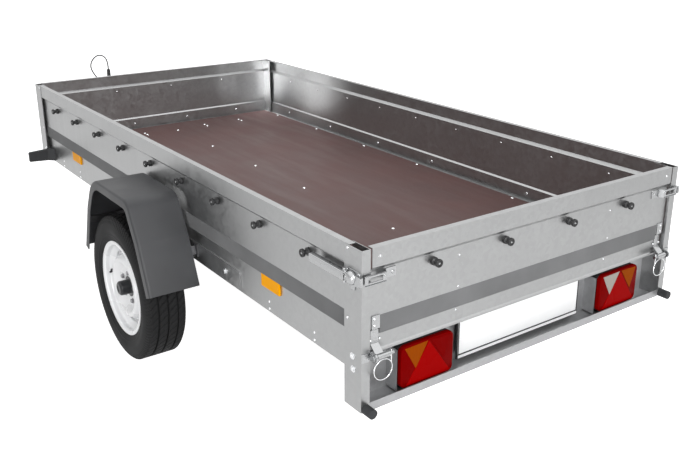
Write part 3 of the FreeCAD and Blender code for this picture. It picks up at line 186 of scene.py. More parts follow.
# Mudguards, their path from the front foot over the top to the rear one, and the radii of its bends
guard_low, guard_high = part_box("mudguard_right")
GUARD_INNER = guard_low.x
GUARD_OUTER = guard_high.x
GUARD_SHEET = 0.004
GUARD_LIP = 0.034
GUARD_EDGE_R = 0.009
GUARD_PATH = [(-0.288, 0.360), (-0.353, 0.538), (-0.427, 0.666), (-0.767, 0.666), (-0.843, 0.533),
              (-0.911, 0.363)]
GUARD_RADII = [0.090, 0.120, 0.060, 0.090]

# Small fasteners: a rivet's dome in shares of its radius, radii, and places read off the photograph
RIVET_DOME = ((0.97, 0.18), (0.75, 0.42), (0.4, 0.55), (0, 0.6))
SCREW_R = 0.0065
SMALL_RIVET_R = 0.0035
RIVET_R = 0.004
STRAP_RIVET_R = 0.0045
SKIRT_RIVET_R = 0.0055
FLOOR_SCREWS = ((-0.60, -0.012, 0.592), (0.635, 0.24, -0.178, -0.581, -1.172, -1.70))
FRONT_FLOOR_SCREWS = ((-0.178, 0.159, 0.365), (0.640, 0.672))
GATE_RIVET_X = (-0.311, 0.326)
GATE_RIVET_Z = (0.703, 0.610)
GATE_SKIRT_RIVET_Z = 0.536
GATE_CORNER_RIVET = (0.592, 0.770)
STRAP_FACE = 0.003
STRAP_RIVETS = (0.603, (0.594, 0.575))
STRAP_FOOT_RIVETS = ((0.611, 0.581), 0.530)
POST_RIVET_INSET = 0.014
POST_RIVET_Z = (0.786, 0.591)
POST_BOLTS = ((-1.810, 0.489), (-1.813, 0.452), (0.768, 0.489), (0.768, 0.452))
RAIL_RIVETS = ((0.569, 0.343, -1.35, -1.60), (0.464, 0.440))
SIDE_PLATE_BOLTS = ((-0.08, -1.072), 0.468)
SKIRT_RIVETS = ((0.572, 0.167, -0.241, -0.637, -1.213, -1.60), 0.535)
FRONT_RIVETS = ((-0.55, -0.25, 0.05, 0.35), 0.713)
FRONT_SKIRT_SHIFT = 0.08

# Jockey wheel
JACK_CENTRE = joint_place("jack_wheel_spin")
JACK_BORE_R = 0.00605
JACK_RIBS = 8
JACK_RIB_HALF = 0.0015
JACK_RIB_FROM_TO = (0.014, 0.055)

# The lead's route, as in the solids
LEAD_RADIUS = 0.0035
LEAD_POINTS = [
    (0, 1.655, 0.444), (0, 1.655, 0.484), (-0.012, 1.651, 0.530), (-0.031, 1.648, 0.580),
    (-0.053, 1.652, 0.632), (-0.077, 1.669, 0.672), (-0.087, 1.676, 0.712), (-0.073, 1.666, 0.752),
    (-0.046, 1.646, 0.778), (-0.015, 1.624, 0.772), (0, 1.613, 0.737), (0, 1.613, 0.692),
]


# Materials

# Sockets of a mix node that mixes colours
MIX_FACTOR, MIX_A, MIX_B, MIX_RESULT = 0, 6, 7, 2


class Nodes:
    """A tree of shader nodes and short ways to add to it."""

    def __init__(self, tree):
        self.tree = tree

    def feed(self, node, sockets):
        """Gives each socket a plain value or another node's output."""
        for socket, value in sockets.items():
            if isinstance(value, bpy.types.NodeSocket):
                self.tree.links.new(value, node.inputs[socket])
            else:
                node.inputs[socket].default_value = value

    def add(self, kind, sockets=None, **settings):
        node = self.tree.nodes.new(kind)
        for key, value in settings.items():
            setattr(node, key, value)
        self.feed(node, sockets or {})
        return node

    def spread(self, source, low, high, start=0.0, end=1.0):
        """Source from start to end, moved onto low to high."""
        sockets = {"Value": source, "From Min": start, "From Max": end, "To Min": low, "To Max": high}
        return self.add("ShaderNodeMapRange", sockets).outputs["Result"]

    def reckoned(self, operation, first, second):
        return self.add("ShaderNodeMath", {0: first, 1: second}, operation=operation).outputs["Value"]

    def total(self, first, second):
        return self.reckoned("ADD", first, second)

    def where_seen(self, unseen, seen):
        """The second shader for camera, glossy and transmission rays, and the first for the rest."""
        rays = self.add("ShaderNodeLightPath").outputs
        direct = self.reckoned("MAXIMUM", rays["Is Camera Ray"], rays["Is Glossy Ray"])
        direct = self.reckoned("MAXIMUM", direct, rays["Is Transmission Ray"])
        return self.add("ShaderNodeMixShader", {"Fac": direct, 1: unseen, 2: seen}).outputs["Shader"]


class Surface(Nodes):
    """A procedural material: its shader and the patterns that feed it."""

    def __init__(self, name, color, roughness, metallic=0.0):
        self.material = bpy.data.materials.new(name)
        self.material.use_nodes = True
        super().__init__(self.material.node_tree)
        self.shader = self.tree.nodes["Principled BSDF"]
        self.feed(self.shader, {"Base Color": (*color, 1), "Roughness": roughness, "Metallic": metallic})
        self.place = self.add("ShaderNodeTexCoord").outputs["Object"]

    def noise(self, scale, detail=3.0, stretch=None):
        place = self.place
        if stretch:
            place = self.add("ShaderNodeMapping", {"Vector": place, "Scale": stretch}).outputs["Vector"]
        sockets = {"Vector": place, "Scale": scale, "Detail": detail}
        return self.add("ShaderNodeTexNoise", sockets).outputs["Fac"]

    def cells(self, scale):
        """A random number for each crystal."""
        crystals = self.add("ShaderNodeTexVoronoi", {"Vector": self.place, "Scale": scale})
        return self.add("ShaderNodeSeparateColor", {"Color": crystals.outputs["Color"]}).outputs["Red"]

    def blend(self, factor, first, second):
        """Mix of two colours, each plain or a node's output."""
        first, second = [(*end, 1) if isinstance(end, tuple) else end for end in (first, second)]
        sockets = {MIX_FACTOR: factor, MIX_A: first, MIX_B: second}
        return self.add("ShaderNodeMix", sockets, data_type="RGBA").outputs[MIX_RESULT]

    def colour_from(self, output):
        self.feed(self.shader, {"Base Color": output})

    def roughness_from(self, output):
        self.feed(self.shader, {"Roughness": output})

    def bump(self, source, depth, strength):
        sockets = {"Height": source, "Distance": depth, "Strength": strength}
        self.feed(self.shader, {"Normal": self.add("ShaderNodeBump", sockets).outputs["Normal"]})

    def coat(self, weight, roughness=0.15):
        self.feed(self.shader, {"Coat Weight": weight, "Coat Roughness": roughness})

    def specular(self, level):
        self.feed(self.shader, {"Specular IOR Level": level})


def shaded(color, factor):
    return tuple(channel * factor for channel in color)


def galvanised(name, color, roughness, metallic=1.0):
    """Hot-dip zinc: faint crystals, rolling streaks, dull patches."""
    s = Surface(name, color, roughness, metallic)
    crystals = s.cells(85)
    patches = s.noise(3.5, 4)
    streaks = s.noise(30, 2, (1, 1, 0.06))
    tint = s.blend(crystals, shaded(color, 0.95), shaded(color, 1.05))
    tint = s.blend(s.spread(patches, 0.0, 0.5, 0.45, 0.7), tint, shaded(color, 0.92))
    s.colour_from(tint)
    s.roughness_from(s.spread(s.total(crystals, streaks), roughness - 0.06, roughness + 0.08, 0.2, 1.7))
    s.bump(s.total(crystals, patches), 0.0002, 0.25)
    return s.material


def plain_metal(name, color, roughness):
    """Zinc plating or bare steel with fine handling marks."""
    s = Surface(name, color, roughness, metallic=1.0)
    marks = s.noise(140, 3, (1, 0.15, 1))
    patches = s.noise(12, 3)
    s.colour_from(s.blend(patches, shaded(color, 0.92), shaded(color, 1.06)))
    s.roughness_from(s.spread(s.total(marks, patches), roughness - 0.07, roughness + 0.1, 0.6, 1.4))
    s.bump(marks, 0.0001, 0.2)
    return s.material


def grained(name, color, roughness, grain=420, depth=0.0003, specular=0.5):
    """Moulded plastic or rubber with a fine grain and dusty patches."""
    s = Surface(name, color, roughness)
    grains = s.noise(grain, 2)
    patches = s.noise(6, 4)
    s.colour_from(s.blend(s.spread(patches, 0.0, 1.0, 0.35, 0.7), shaded(color, 0.88), shaded(color, 1.15)))
    s.roughness_from(s.spread(patches, roughness - 0.06, roughness + 0.07, 0.35, 0.65))
    s.bump(grains, depth, 0.35)
    s.specular(specular)
    return s.material


def painted(name, color, roughness, metallic=0.0, coat=0.3, specular=0.5):
    """Paint film with a faint orange peel."""
    s = Surface(name, color, roughness, metallic)
    peel = s.noise(160, 2)
    patches = s.noise(7, 3)
    s.colour_from(s.blend(patches, shaded(color, 0.94), shaded(color, 1.04)))
    s.roughness_from(s.spread(patches, roughness - 0.05, roughness + 0.06, 0.3, 0.7))
    s.bump(peel, 0.0002, 0.15)
    s.coat(coat)
    s.specular(specular)
    return s.material


def lens(name, color):
    """Clear coloured plastic over a ribbed back: fine lines under a smooth face."""
    s = Surface(name, color, 0.3)
    lines = s.add("ShaderNodeTexWave", {"Vector": s.place, "Scale": 60}, bands_direction="X")
    clouds = s.noise(9, 2)
    tint = s.blend(lines.outputs["Fac"], shaded(color, 0.93), shaded(color, 1.05))
    s.colour_from(s.blend(s.spread(clouds, 0.0, 0.3), tint, shaded(color, 0.8)))
    s.roughness_from(s.spread(clouds, 0.22, 0.34))
    s.specular(0.015)
    return s.material


def film_board(name, color, scuff_color):
    """Brown phenolic film over plywood, with a pressed mesh and scuffs."""
    s = Surface(name, color, 0.5)
    cloudy = s.noise(5, 5)
    scuffs = s.noise(22, 4, (1, 0.12, 1))
    tint = s.blend(s.spread(cloudy, 0.0, 1.0, 0.35, 0.7), shaded(color, 0.9), shaded(color, 1.1))
    tint = s.blend(s.spread(scuffs, 0.0, 0.25, 0.6, 0.8), tint, scuff_color)
    s.colour_from(tint)
    s.roughness_from(s.spread(s.total(cloudy, scuffs), 0.42, 0.62, 0.7, 1.3))
    mesh = s.cells(260)
    s.bump(mesh, 0.0002, 0.3)
    s.specular(0.3)
    return s.material


MATERIALS = {
    "galvanised_sheet": galvanised("galvanised_sheet", (0.368, 0.371, 0.373), 0.34),
    "bar_sheet": galvanised("bar_sheet", (0.37, 0.373, 0.381), 0.36, metallic=0.6),
    "stay_sheet": galvanised("stay_sheet", (0.11, 0.11, 0.115), 0.5),
    "dull_steel": plain_metal("dull_steel", (0.30, 0.30, 0.31), 0.4),
    "bright_zinc": plain_metal("bright_zinc", (0.40, 0.405, 0.41), 0.22),
    "polished_zinc": plain_metal("polished_zinc", (0.72, 0.73, 0.74), 0.2),
    "floor_film": film_board("floor_film", (0.112, 0.057, 0.053), (0.18, 0.12, 0.11)),
    "mudguard_plastic": grained("mudguard_plastic", (0.037, 0.038, 0.041), 0.46, grain=500, specular=0.38),
    "tyre": grained("tyre", (0.010, 0.010, 0.0105), 0.7, grain=300, depth=0.0004, specular=0.2),
    "rim_paint": painted("rim_paint", (0.86, 0.865, 0.875), 0.3, metallic=0.1),
    "black_metal": painted("black_metal", (0.013, 0.014, 0.016), 0.32, metallic=0.1, coat=0.1, specular=0.3),
    # Black for the walls and floor of the rim's blind slot pockets: painted shade where real slots would open into
    # the dark behind the disc
    "slot_shade": painted("slot_shade", (0.010, 0.010, 0.011), 0.7, coat=0.0, specular=0.1),
    "lens_red": lens("lens_red", (0.29, 0.0004, 0.0005)),
    "lens_dark": lens("lens_dark", (0.17, 0.0002, 0.0003)),
    "lens_amber": lens("lens_amber", (0.27, 0.052, 0.001)),
    "lens_clear": lens("lens_clear", (0.36, 0.33, 0.30)),
    "black_plastic": grained("black_plastic", (0.014, 0.014, 0.015), 0.45, specular=0.45),
    "plate_white": painted("plate_white", (0.94, 0.945, 0.95), 0.4),
    "reflector_amber": painted("reflector_amber", (0.95, 0.39, 0.0005), 0.35, coat=0.0, specular=0.06),
    "black_rubber": grained("black_rubber", (0.022, 0.023, 0.025), 0.6, grain=260, specular=0.35),
    "stripe_grey": grained("stripe_grey", (0.165, 0.167, 0.17), 0.6, grain=700, depth=0.0001, specular=0.12),
}


# The solids: their materials, smooth round faces and a few soft edges

SOFT_EDGES = {"side_reflectors": 0.002, "marker_arms": 0.003}
OWN_SURFACE = {"light_bar": "bar_sheet", "mudguard_stays": "stay_sheet"}


def smooth_forms():
    """Geometry nodes that join the solids' split corners and shade their round faces smooth."""
    tree = bpy.data.node_groups.new("smooth_forms", "GeometryNodeTree")
    tree.is_modifier = True
    for direction in ("INPUT", "OUTPUT"):
        tree.interface.new_socket("Geometry", in_out=direction, socket_type="NodeSocketGeometry")
    nodes = Nodes(tree)
    bend = nodes.add("GeometryNodeInputMeshEdgeAngle").outputs["Unsigned Angle"]
    limits = {"A": bend, "B": math.radians(SOLID_ANGLE)}
    sharp = nodes.add("FunctionNodeCompare", limits, operation="GREATER_THAN").outputs["Result"]
    form = nodes.add("NodeGroupInput").outputs[0]
    for kind, sockets, settings in (
            ("MergeByDistance", {"Distance": 0.00001}, {}),
            ("RemoveAttribute", {"Name": "custom_normal"}, {}),
            ("SetShadeSmooth", {"Shade Smooth": True}, {"domain": "FACE"}),
            ("SetShadeSmooth", {"Shade Smooth": False, "Selection": sharp}, {"domain": "EDGE"})):
        form = nodes.add("GeometryNode" + kind, {0: form, **sockets}, **settings).outputs[0]
    nodes.add("NodeGroupOutput", {0: form})
    return tree


def soft_edges(made, width, segments=2, angle=30):
    """Rounds the edges whose faces meet at more than the angle."""
    edges = made.modifiers.new("soft_edges", "BEVEL")
    edges.width = width
    edges.segments = segments
    edges.limit_method = "ANGLE"
    edges.angle_limit = math.radians(angle)


def dress_nodes():
    """Every node of the frame gets the material of its slot in the record, or its own one."""
    slots = {part["node"]: part["material_slot"] for part in frame["record"]["subparts"]}
    smoothing = smooth_forms()
    for name, node in frame["nodes"].items():
        node.data.materials.clear()
        node.data.materials.append(MATERIALS[OWN_SURFACE.get(name, slots[name])])
        node.modifiers.new("smooth_forms", "NODES").node_group = smoothing
        if name in SOFT_EDGES:
            soft_edges(node, SOFT_EDGES[name], segments=3, angle=40)


# Making pieces

def piece(name, shape, material, body, replaced=(), smooth=FORM_ANGLE):
    """Places a bmesh or curve on its body, with the material of the given name."""
    data = shape
    if isinstance(shape, bmesh.types.BMesh):
        bmesh.ops.recalc_face_normals(shape, faces=shape.faces)
        data = bpy.data.meshes.new(name)
        shape.to_mesh(data)
        shape.free()
        if smooth:
            data.shade_smooth()
            data.set_sharp_from_angle(angle=math.radians(smooth))
    made = bpy.data.objects.new(name, data)
    bpy.context.scene.collection.objects.link(made)
    made.data.materials.append(MATERIALS[material])
    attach(made, body)
    if replaced:
        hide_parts(*replaced)
    return made


def closed_box(shape, low, high):
    """Adds a box to a bmesh."""
    ends = tuple(zip(low, high))
    verts = [shape.verts.new((x, y, z)) for x in ends[0] for y in ends[1] for z in ends[2]]
    for face in ((0, 1, 3, 2), (4, 6, 7, 5), (0, 4, 5, 1), (2, 3, 7, 6), (0, 2, 6, 4), (1, 5, 7, 3)):
        shape.faces.new([verts[index] for index in face])


def join_loops(shape, first, second):
    """Adds the faces between two closed loops of as many points."""
    for step in range(len(first)):
        after = (step + 1) % len(first)
        shape.faces.new((first[step], first[after], second[after], second[step]))


def stack(shape, outlines):
    """Adds a solid through closed outlines of as many points, and closes its ends."""
    loops = [[shape.verts.new(point) for point in outline] for outline in outlines]
    shape.faces.new(loops[0])
    shape.faces.new(loops[-1])
    for first, second in zip(loops, loops[1:]):
        join_loops(shape, first, second)


def prism(shape, outline, offset):
    """Adds a solid between an outline and the same outline moved by offset."""
    stack(shape, [outline, [Vector(point) + Vector(offset) for point in outline]])


def turn(shape, profile, centre, axis, steps, closed=True, sunk=None, left_out=None):
    """Adds a profile of (radius, along) turned about an axis, and returns its rings of points.

    sunk says how far a point lies in from its radius, and left_out which faces are not made.
    """
    ahead = Vector(axis).normalized()
    aside = ahead.orthogonal().normalized()
    across = ahead.cross(aside)
    rings = []
    for radius, along in profile:
        middle = Vector(centre) + ahead * along
        if radius == 0:
            rings.append([shape.verts.new(middle)])
            continue
        ring = []
        for step in range(steps):
            angle = 2 * math.pi * step / steps
            reach = radius - (sunk(radius, along, step) if sunk else 0)
            spoke = aside * math.cos(angle) + across * math.sin(angle)
            ring.append(shape.verts.new(middle + spoke * reach))
        rings.append(ring)
    count = len(rings) if closed else len(rings) - 1
    for index in range(count):
        first, second = rings[index], rings[(index + 1) % len(rings)]
        for step in range(steps):
            if left_out and left_out(index, step):
                continue
            after = (step + 1) % steps
            corners = [first[step % len(first)], first[after % len(first)],
                       second[after % len(second)], second[step % len(second)]]
            apart = list(dict.fromkeys(corners))
            if len(apart) > 2:
                shape.faces.new(apart)
    return rings


def softened(profile, reach, closed=True, steps=3):
    """Profile with its corners rounded off from up to reach before them to as far after."""
    result = []
    last = len(profile) - 1
    for index, corner in enumerate(profile):
        if not closed and index in (0, last):
            result.append(corner)
            continue
        here = Vector(corner)
        back = Vector(profile[index - 1]) - here
        on = Vector(profile[(index + 1) % len(profile)]) - here
        cut = min(reach, back.length * 0.45, on.length * 0.45)
        start, end = here + back.normalized() * cut, here + on.normalized() * cut
        for step in range(steps + 1):
            share = step / steps
            point = start * (1 - share) ** 2 + here * (2 * share * (1 - share)) + end * share ** 2
            result.append((point.x, point.y))
    return result


def divided(profile, longest):
    """Open profile with points added, so that no two lie further apart than longest."""
    result = [profile[0]]
    for first, second in zip(profile, profile[1:]):
        parts = max(1, math.ceil(math.dist(first, second) / longest))
        for part in range(1, parts + 1):
            share = part / parts
            result.append(tuple(a + (b - a) * share for a, b in zip(first, second)))
    return result


def opposite(profile):
    """The same profile on the other side of the middle, run backwards."""
    return [(radius, -along) for radius, along in reversed(profile)]


def rounded_rectangle(low, high, radius, steps):
    """Points round a rectangle with round corners, from its right side over its top."""
    (left, bottom), (right, top) = low, high
    middles = ((right - radius, top - radius), (left + radius, top - radius),
               (left + radius, bottom + radius), (right - radius, bottom + radius))
    points = []
    for quarter, (across, up) in enumerate(middles):
        for step in range(steps + 1):
            angle = math.pi / 2 * (quarter + step / steps)
            points.append((across + radius * math.cos(angle), up + radius * math.sin(angle)))
    return points


def even_places(first, last, count):
    return [first + (last - first) * index / (count - 1) for index in range(count)]


def rivet(shape, place, out, radius):
    """Domed head on a surface."""
    dome = [(radius * share, radius * height) for share, height in RIVET_DOME]
    turn(shape, [(0, -0.0005), (radius, -0.0005)] + dome, place, out, steps=14, closed=False)


def hex_bolt(shape, place, out, radius):
    """Hexagon head on a washer."""
    washer = [(0, -0.0005), (radius * 1.5, -0.0005), (radius * 1.5, 0.0015), (0, 0.0015)]
    turn(shape, washer, place, out, steps=20, closed=False)
    head = [(0, 0.001), (radius, 0.001), (radius, radius * 0.65), (radius * 0.85, radius * 0.8),
            (0, radius * 0.8)]
    turn(shape, head, place, out, steps=6, closed=False)


# Stripes

def stripes():
    """Grey band along the panels, down over their lower crease."""
    low, high = STRIPE_FROM_TO
    step = WALL_SKIRT - WALL_PANEL
    shape = [(STRIPE_THICKNESS, high), (0, high), (0, CREASE), (-step, CREASE - step), (-step, low - step),
             (STRIPE_THICKNESS, low)]
    panel = HALF_WIDTH - WALL_PANEL
    tape = bmesh.new()
    for side in (-1, 1):
        outline = [(side * (panel + out), SIDE_STRIPE[0], z) for out, z in shape]
        prism(tape, outline, (0, SIDE_STRIPE[1] - SIDE_STRIPE[0], 0))
    piece("side_stripes", tape, "stripe_grey", "trailer", smooth=FLAT)
    tape = bmesh.new()
    outline = [(-GATE_STRIPE_HALF, GATE_PANEL - out, z) for out, z in shape]
    prism(tape, outline, (2 * GATE_STRIPE_HALF, 0, 0))
    piece("gate_stripe", tape, "stripe_grey", "tailgate", smooth=FLAT)


# Wheels, each drawn outwards from its middle along the axle, in (radius, along)

def wheel_centre(side):
    return (side * WHEEL_X, AXLE_Y, TYRE_R)


def tyre_profile():
    """Side wall with a rim guard, round shoulder and a grooved tread, and back round the inside."""
    side = [(0.165, 0.063), (0.179, 0.063), (0.193, 0.070), (0.199, 0.0717), (0.2005, 0.0732),
            (0.203, 0.0736), (0.2045, 0.0731), (0.2255, 0.0785), (SHOULDER_R, 0.0745), (0.266, 0.068),
            (TYRE_R, TREAD_HALF)]
    side = softened(side, 0.009, closed=False)
    wall = [point for point in side if point[0] <= SHOULDER_R]
    shoulder = divided([point for point in side if point[0] > SHOULDER_R], 0.003)
    tread = []
    start = TREAD_HALF
    for groove in TREAD_GROOVES:
        tread += divided([(TYRE_R, start), (TYRE_R, groove + GROOVE_HALF)], SIPE_SLANT)
        tread += [(TYRE_R - GROOVE_DEPTH, groove + GROOVE_FLOOR_HALF),
                  (TYRE_R - GROOVE_DEPTH, groove - GROOVE_FLOOR_HALF)]
        start = groove - GROOVE_HALF
    tread += divided([(TYRE_R, start), (TYRE_R, -TREAD_HALF)], SIPE_SLANT)
    inner = [(0.165, -0.045), (0.2255, -0.0695), (0.258, -0.053)]
    half = wall + shoulder[:-1]
    return half + tread + opposite(half) + inner + opposite(inner)


def tread_cut(radius, along, step):
    """Slanting sipes across the ribs, and closer ones down the shoulders."""
    slanted = step + round(along / SIPE_SLANT)
    if radius > TYRE_R - 0.0002:
        return SIPE_DEPTH if slanted % SIPE_EVERY == 0 else 0
    if radius > SHOULDER_R + 0.001 and abs(along) > TREAD_HALF:
        return SHOULDER_SIPE_DEPTH if slanted % SHOULDER_SIPE_EVERY == 0 else 0
    return 0


def tyre(side):
    shape = bmesh.new()
    turn(shape, tyre_profile(), wheel_centre(side), (side, 0, 0), TYRE_STEPS, sunk=tread_cut)
    return shape


def rim(side):
    """Barrel with a drop centre and rolled lips, and a disc with a raised ring and slots that are shallow blind
    pockets painted black as painted shade.
    """
    shape = bmesh.new()
    centre, axle = wheel_centre(side), (side, 0, 0)
    outside = [(0.179, -0.063), (0.165, -0.063), (0.165, -0.046), (0.148, -0.030)]
    inside = [(0.144, 0.030), (0.161, 0.046), (0.161, 0.0625), (0.1665, 0.067), (0.179, 0.067)]
    barrel = outside + opposite(outside) + inside[::-1] + opposite(inside)[::-1]
    turn(shape, softened(barrel, 0.004), centre, axle, RIM_STEPS)

    front_outer, front_inner = (0.1385, 0.0215), (0.1295, 0.0272)
    back_inner, back_outer = (0.1295, 0.0232), (0.1385, 0.0175)
    disc = [front_inner, (0.125, 0.030), (0.111, 0.056), (0.097, 0.056), (0.072, 0.034), (0.039, 0.034),
            (0.039, 0.030), (0.071, 0.030), (0.096, 0.052), (0.110, 0.052), (0.123, 0.026), back_inner]
    flange = [back_outer, (0.140, 0.014), (0.140, -0.006), (0.144, -0.006), (0.144, 0.018), front_outer]
    profile = softened(disc, 0.006, closed=False) + softened(flange, 0.003, closed=False)
    last = len(profile) - 1
    every = RIM_STEPS // RIM_SLOTS

    def in_slot(index, step):
        """The disc's front is open there, between the profile's last ring and its first."""
        return index == last and step % every < SLOT_STEPS

    rings = turn(shape, profile, centre, axle, RIM_STEPS, left_out=in_slot)
    # Each slot is closed a few millimetres in by a floor; its walls and floor take the second material, black as
    # painted shade of the hollow behind the disc
    inward = Vector((-side * SLOT_SINK, 0, 0))
    for start in range(0, RIM_STEPS, every):
        outer, inner = [rings[index][start:start + SLOT_STEPS + 1] for index in (last, 0)]
        edge = outer + inner[::-1]
        sunk = [shape.verts.new(vert.co + inward) for vert in edge]
        known = len(shape.faces)
        join_loops(shape, edge, sunk)
        shape.faces.new(sunk)
        shape.faces.ensure_lookup_table()
        for face in shape.faces[known:]:
            face.material_index = 1
    return shape


def hub(side):
    """Hub behind the disc and a grease cap in front of it, bored for the stub axle."""
    shape = bmesh.new()
    back, front = (0, 0.060), (0, 0.0735)
    profile = [(STUB_BORE_R, 0.060), (STUB_BORE_R, -0.040), (0.038, -0.040), (0.038, 0.020), (0.072, 0.020),
               (0.072, 0.030), (0.038, 0.030), (0.038, 0.034), (0.0275, 0.034), (0.027, 0.070),
               (0.021, 0.0755), (0.012, 0.0755), (0.010, 0.0735)]
    rounded = softened(profile, 0.003, closed=False)
    turn(shape, [back] + rounded + [front], wheel_centre(side), (side, 0, 0), steps=64, closed=False)
    return shape


def wheel_bolts(side):
    """Hexagon heads on round collars, round the grease cap."""
    shape = bmesh.new()
    collar = [(0, 0.030), (0.011, 0.030), (0.011, 0.0345), (BOLT_R, 0.036), (0, 0.036)]
    head = [(0, 0.035), (BOLT_R, 0.035), (BOLT_R, 0.0415), (BOLT_R * 0.8, 0.043), (0, 0.043)]
    for index in range(BOLT_COUNT):
        angle = 2 * math.pi * (index + BOLT_TURN) / BOLT_COUNT
        spoke = Vector((0, math.cos(angle), math.sin(angle)))
        place = Vector(wheel_centre(side)) + spoke * BOLT_CIRCLE_R
        turn(shape, collar, place, (side, 0, 0), steps=20, closed=False)
        turn(shape, head, place, (side, 0, 0), steps=6, closed=False)
    return shape


def valve(side):
    """Rubber valve through the barrel, leaning out and towards the axle."""
    shape = bmesh.new()
    spoke = Vector((0, math.cos(VALVE_ANGLE), math.sin(VALVE_ANGLE)))
    foot = Vector(wheel_centre(side)) + Vector((side * 0.040, 0, 0)) + spoke * VALVE_CIRCLE_R
    out = Vector((side, 0, 0)) - spoke
    profile = [(0, 0), (0.0070, 0), (0.0065, 0.003), (0.0042, 0.005), (0.0040, 0.009), (0.0045, 0.010),
               (0.0045, 0.016), (0.0035, 0.018), (0, 0.018)]
    turn(shape, profile, foot, out, steps=20, closed=False)
    return shape


def wheels():
    for side, name in ((-1, "left"), (1, "right")):
        body = "wheel_" + name
        piece("road_tyre_" + name, tyre(side), "tyre", body, replaced=["tyre_" + name], smooth=TREAD_ANGLE)
        made = piece("road_rim_" + name, rim(side), "rim_paint", body, replaced=["rim_" + name])
        # Second material: the painted shade in the rim's slot pockets
        made.data.materials.append(MATERIALS["slot_shade"])
        piece("road_hub_" + name, hub(side), "black_metal", body, replaced=["hub_" + name])
        piece("wheel_bolts_" + name, wheel_bolts(side), "dull_steel", body)
        piece("valve_" + name, valve(side), "black_rubber", body)


# Knobs

def knob(black, metal, base, out):
    """Spool: foot, waist and button with a sunk screw."""
    profile = softened([(0, 0), (0.0118, 0), (0.0120, 0.0060), (0.0070, 0.0085), (0.0070, 0.0150),
                        (0.0120, 0.0170), (0.0120, 0.0240), (0.0108, 0.025), (0.0078, 0.025),
                        (0.0070, 0.0225), (0, 0.0225)], 0.0012, closed=False, steps=2)
    turn(black, profile, base, out, steps=28, closed=False)
    screw = [(0, 0.0222), (0.0034, 0.0222), (0.0032, 0.0236), (0.0020, 0.0241), (0.0014, 0.0232), (0, 0.0232)]
    turn(metal, screw, base, out, steps=16, closed=False)


def knob_row(name, body, replaced, bases):
    """Knobs and their screws, as two pieces, on places with the way that each knob stands out."""
    black, metal = bmesh.new(), bmesh.new()
    for base, out in bases:
        knob(black, metal, base, out)
    piece(name + "s", black, "black_plastic", body, replaced=[replaced], smooth=SMALL_ANGLE)
    piece(name + "_screws", metal, "bright_zinc", body, smooth=SMALL_ANGLE)


def knobs():
    wall = HALF_WIDTH - WALL_PANEL
    bases = [((side * wall, y, KNOB_Z), (side, 0, 0)) for y in even_places(*KNOB_PLACES) for side in (-1, 1)]
    knob_row("wall_button", "trailer", "wall_knobs", bases)
    bases = [((x, GATE_PANEL, KNOB_Z), (0, -1, 0)) for x in even_places(*GATE_KNOB_PLACES)]
    knob_row("gate_button", "tailgate", "tailgate_knobs", bases)


# Hinge rings

def hinge_rings():
    """Peg through each hinge pin, with its wire ring hanging outwards."""
    shape = bmesh.new()
    peg = softened([(0, -RING_DROP), (RING_PEG_R, -RING_DROP), (RING_PEG_R, RING_PEG_TOP), (0, RING_PEG_TOP)],
                   0.001, closed=False)
    wire = []
    for step in range(12):
        angle = 2 * math.pi * step / 12
        wire.append((RING_R + RING_WIRE_R * math.cos(angle), RING_WIRE_R * math.sin(angle)))
    for side in (-1, 1):
        peg_x = side * RING_PEG_X
        turn(shape, peg, (peg_x, HINGE_Y, HINGE_Z), (0, 0, 1), steps=16, closed=False)
        centre = (peg_x + side * RING_R * math.cos(RING_LEAN), HINGE_Y,
                  HINGE_Z - RING_DROP - RING_R * math.sin(RING_LEAN))
        turn(shape, wire, centre, (0, 1, 0), steps=72)
    piece("ring_clips", shape, "polished_zinc", "trailer", ["hinge_rings"], SMALL_ANGLE)


# Lamps

def lamp_point(side, across, down, depth):
    """Place on a lamp's face: across and down run from 0 to 1 from its upper left corner."""
    x = side * LAMP_X - LAMP_WIDTH / 2 + across * LAMP_WIDTH
    return (x, depth, LAMP_BOTTOM + (LAMP_TOP - LAMP_BOTTOM) * (1 - down))


def lamp_facet(name, material, corners_by_side):
    """Raised facets with soft edges on the lamps' faces."""
    shape = bmesh.new()
    for side, corners in corners_by_side:
        outline = [lamp_point(side, across, down, LAMP_FACE + FACET_SUNK) for across, down in corners]
        prism(shape, outline, (0, -FACET_DEPTH, 0))
    soft_edges(piece(name, shape, material, "trailer", smooth=FLAT), 0.0014)


def lamp_lenses():
    """Red lenses with a rolled edge, and the facets that divide their faces."""
    shape = bmesh.new()
    insets = [(0.0, LENS_DEPTH), (0.0, 0.004), (0.0012, 0.0012), (0.004, 0.0)]
    for side in (-1, 1):
        left, right = side * LAMP_X - LAMP_WIDTH / 2, side * LAMP_X + LAMP_WIDTH / 2
        layers = []
        for inset, depth in insets:
            low, high = (left + inset, LAMP_BOTTOM + inset), (right - inset, LAMP_TOP - inset)
            outline = rounded_rectangle(low, high, LENS_CORNER_R - inset, steps=5)
            layers.append([(x, LAMP_FACE + depth, z) for x, z in outline])
        stack(shape, layers)
    piece("lens_shells", shape, "lens_dark", "trailer", ["lamp_lenses"])
    left_wedge = [(0.065, 0.050), (0.495, 0.035), (0.275, 0.60)]
    right_wedge = [(0.545, 0.035), (0.935, 0.050), (0.815, 0.61)]
    middle = [(0.52, 0.045), (0.945, 0.945), (0.10, 0.95)]
    lamp_facet("lens_middles", "lens_red", [(-1, middle), (1, middle)])
    lamp_facet("lens_stops", "lens_dark", [(-1, right_wedge)])
    lamp_facet("lens_indicators", "lens_amber", [(-1, left_wedge), (1, right_wedge)])
    lamp_facet("lens_reversing", "lens_clear", [(1, left_wedge)])


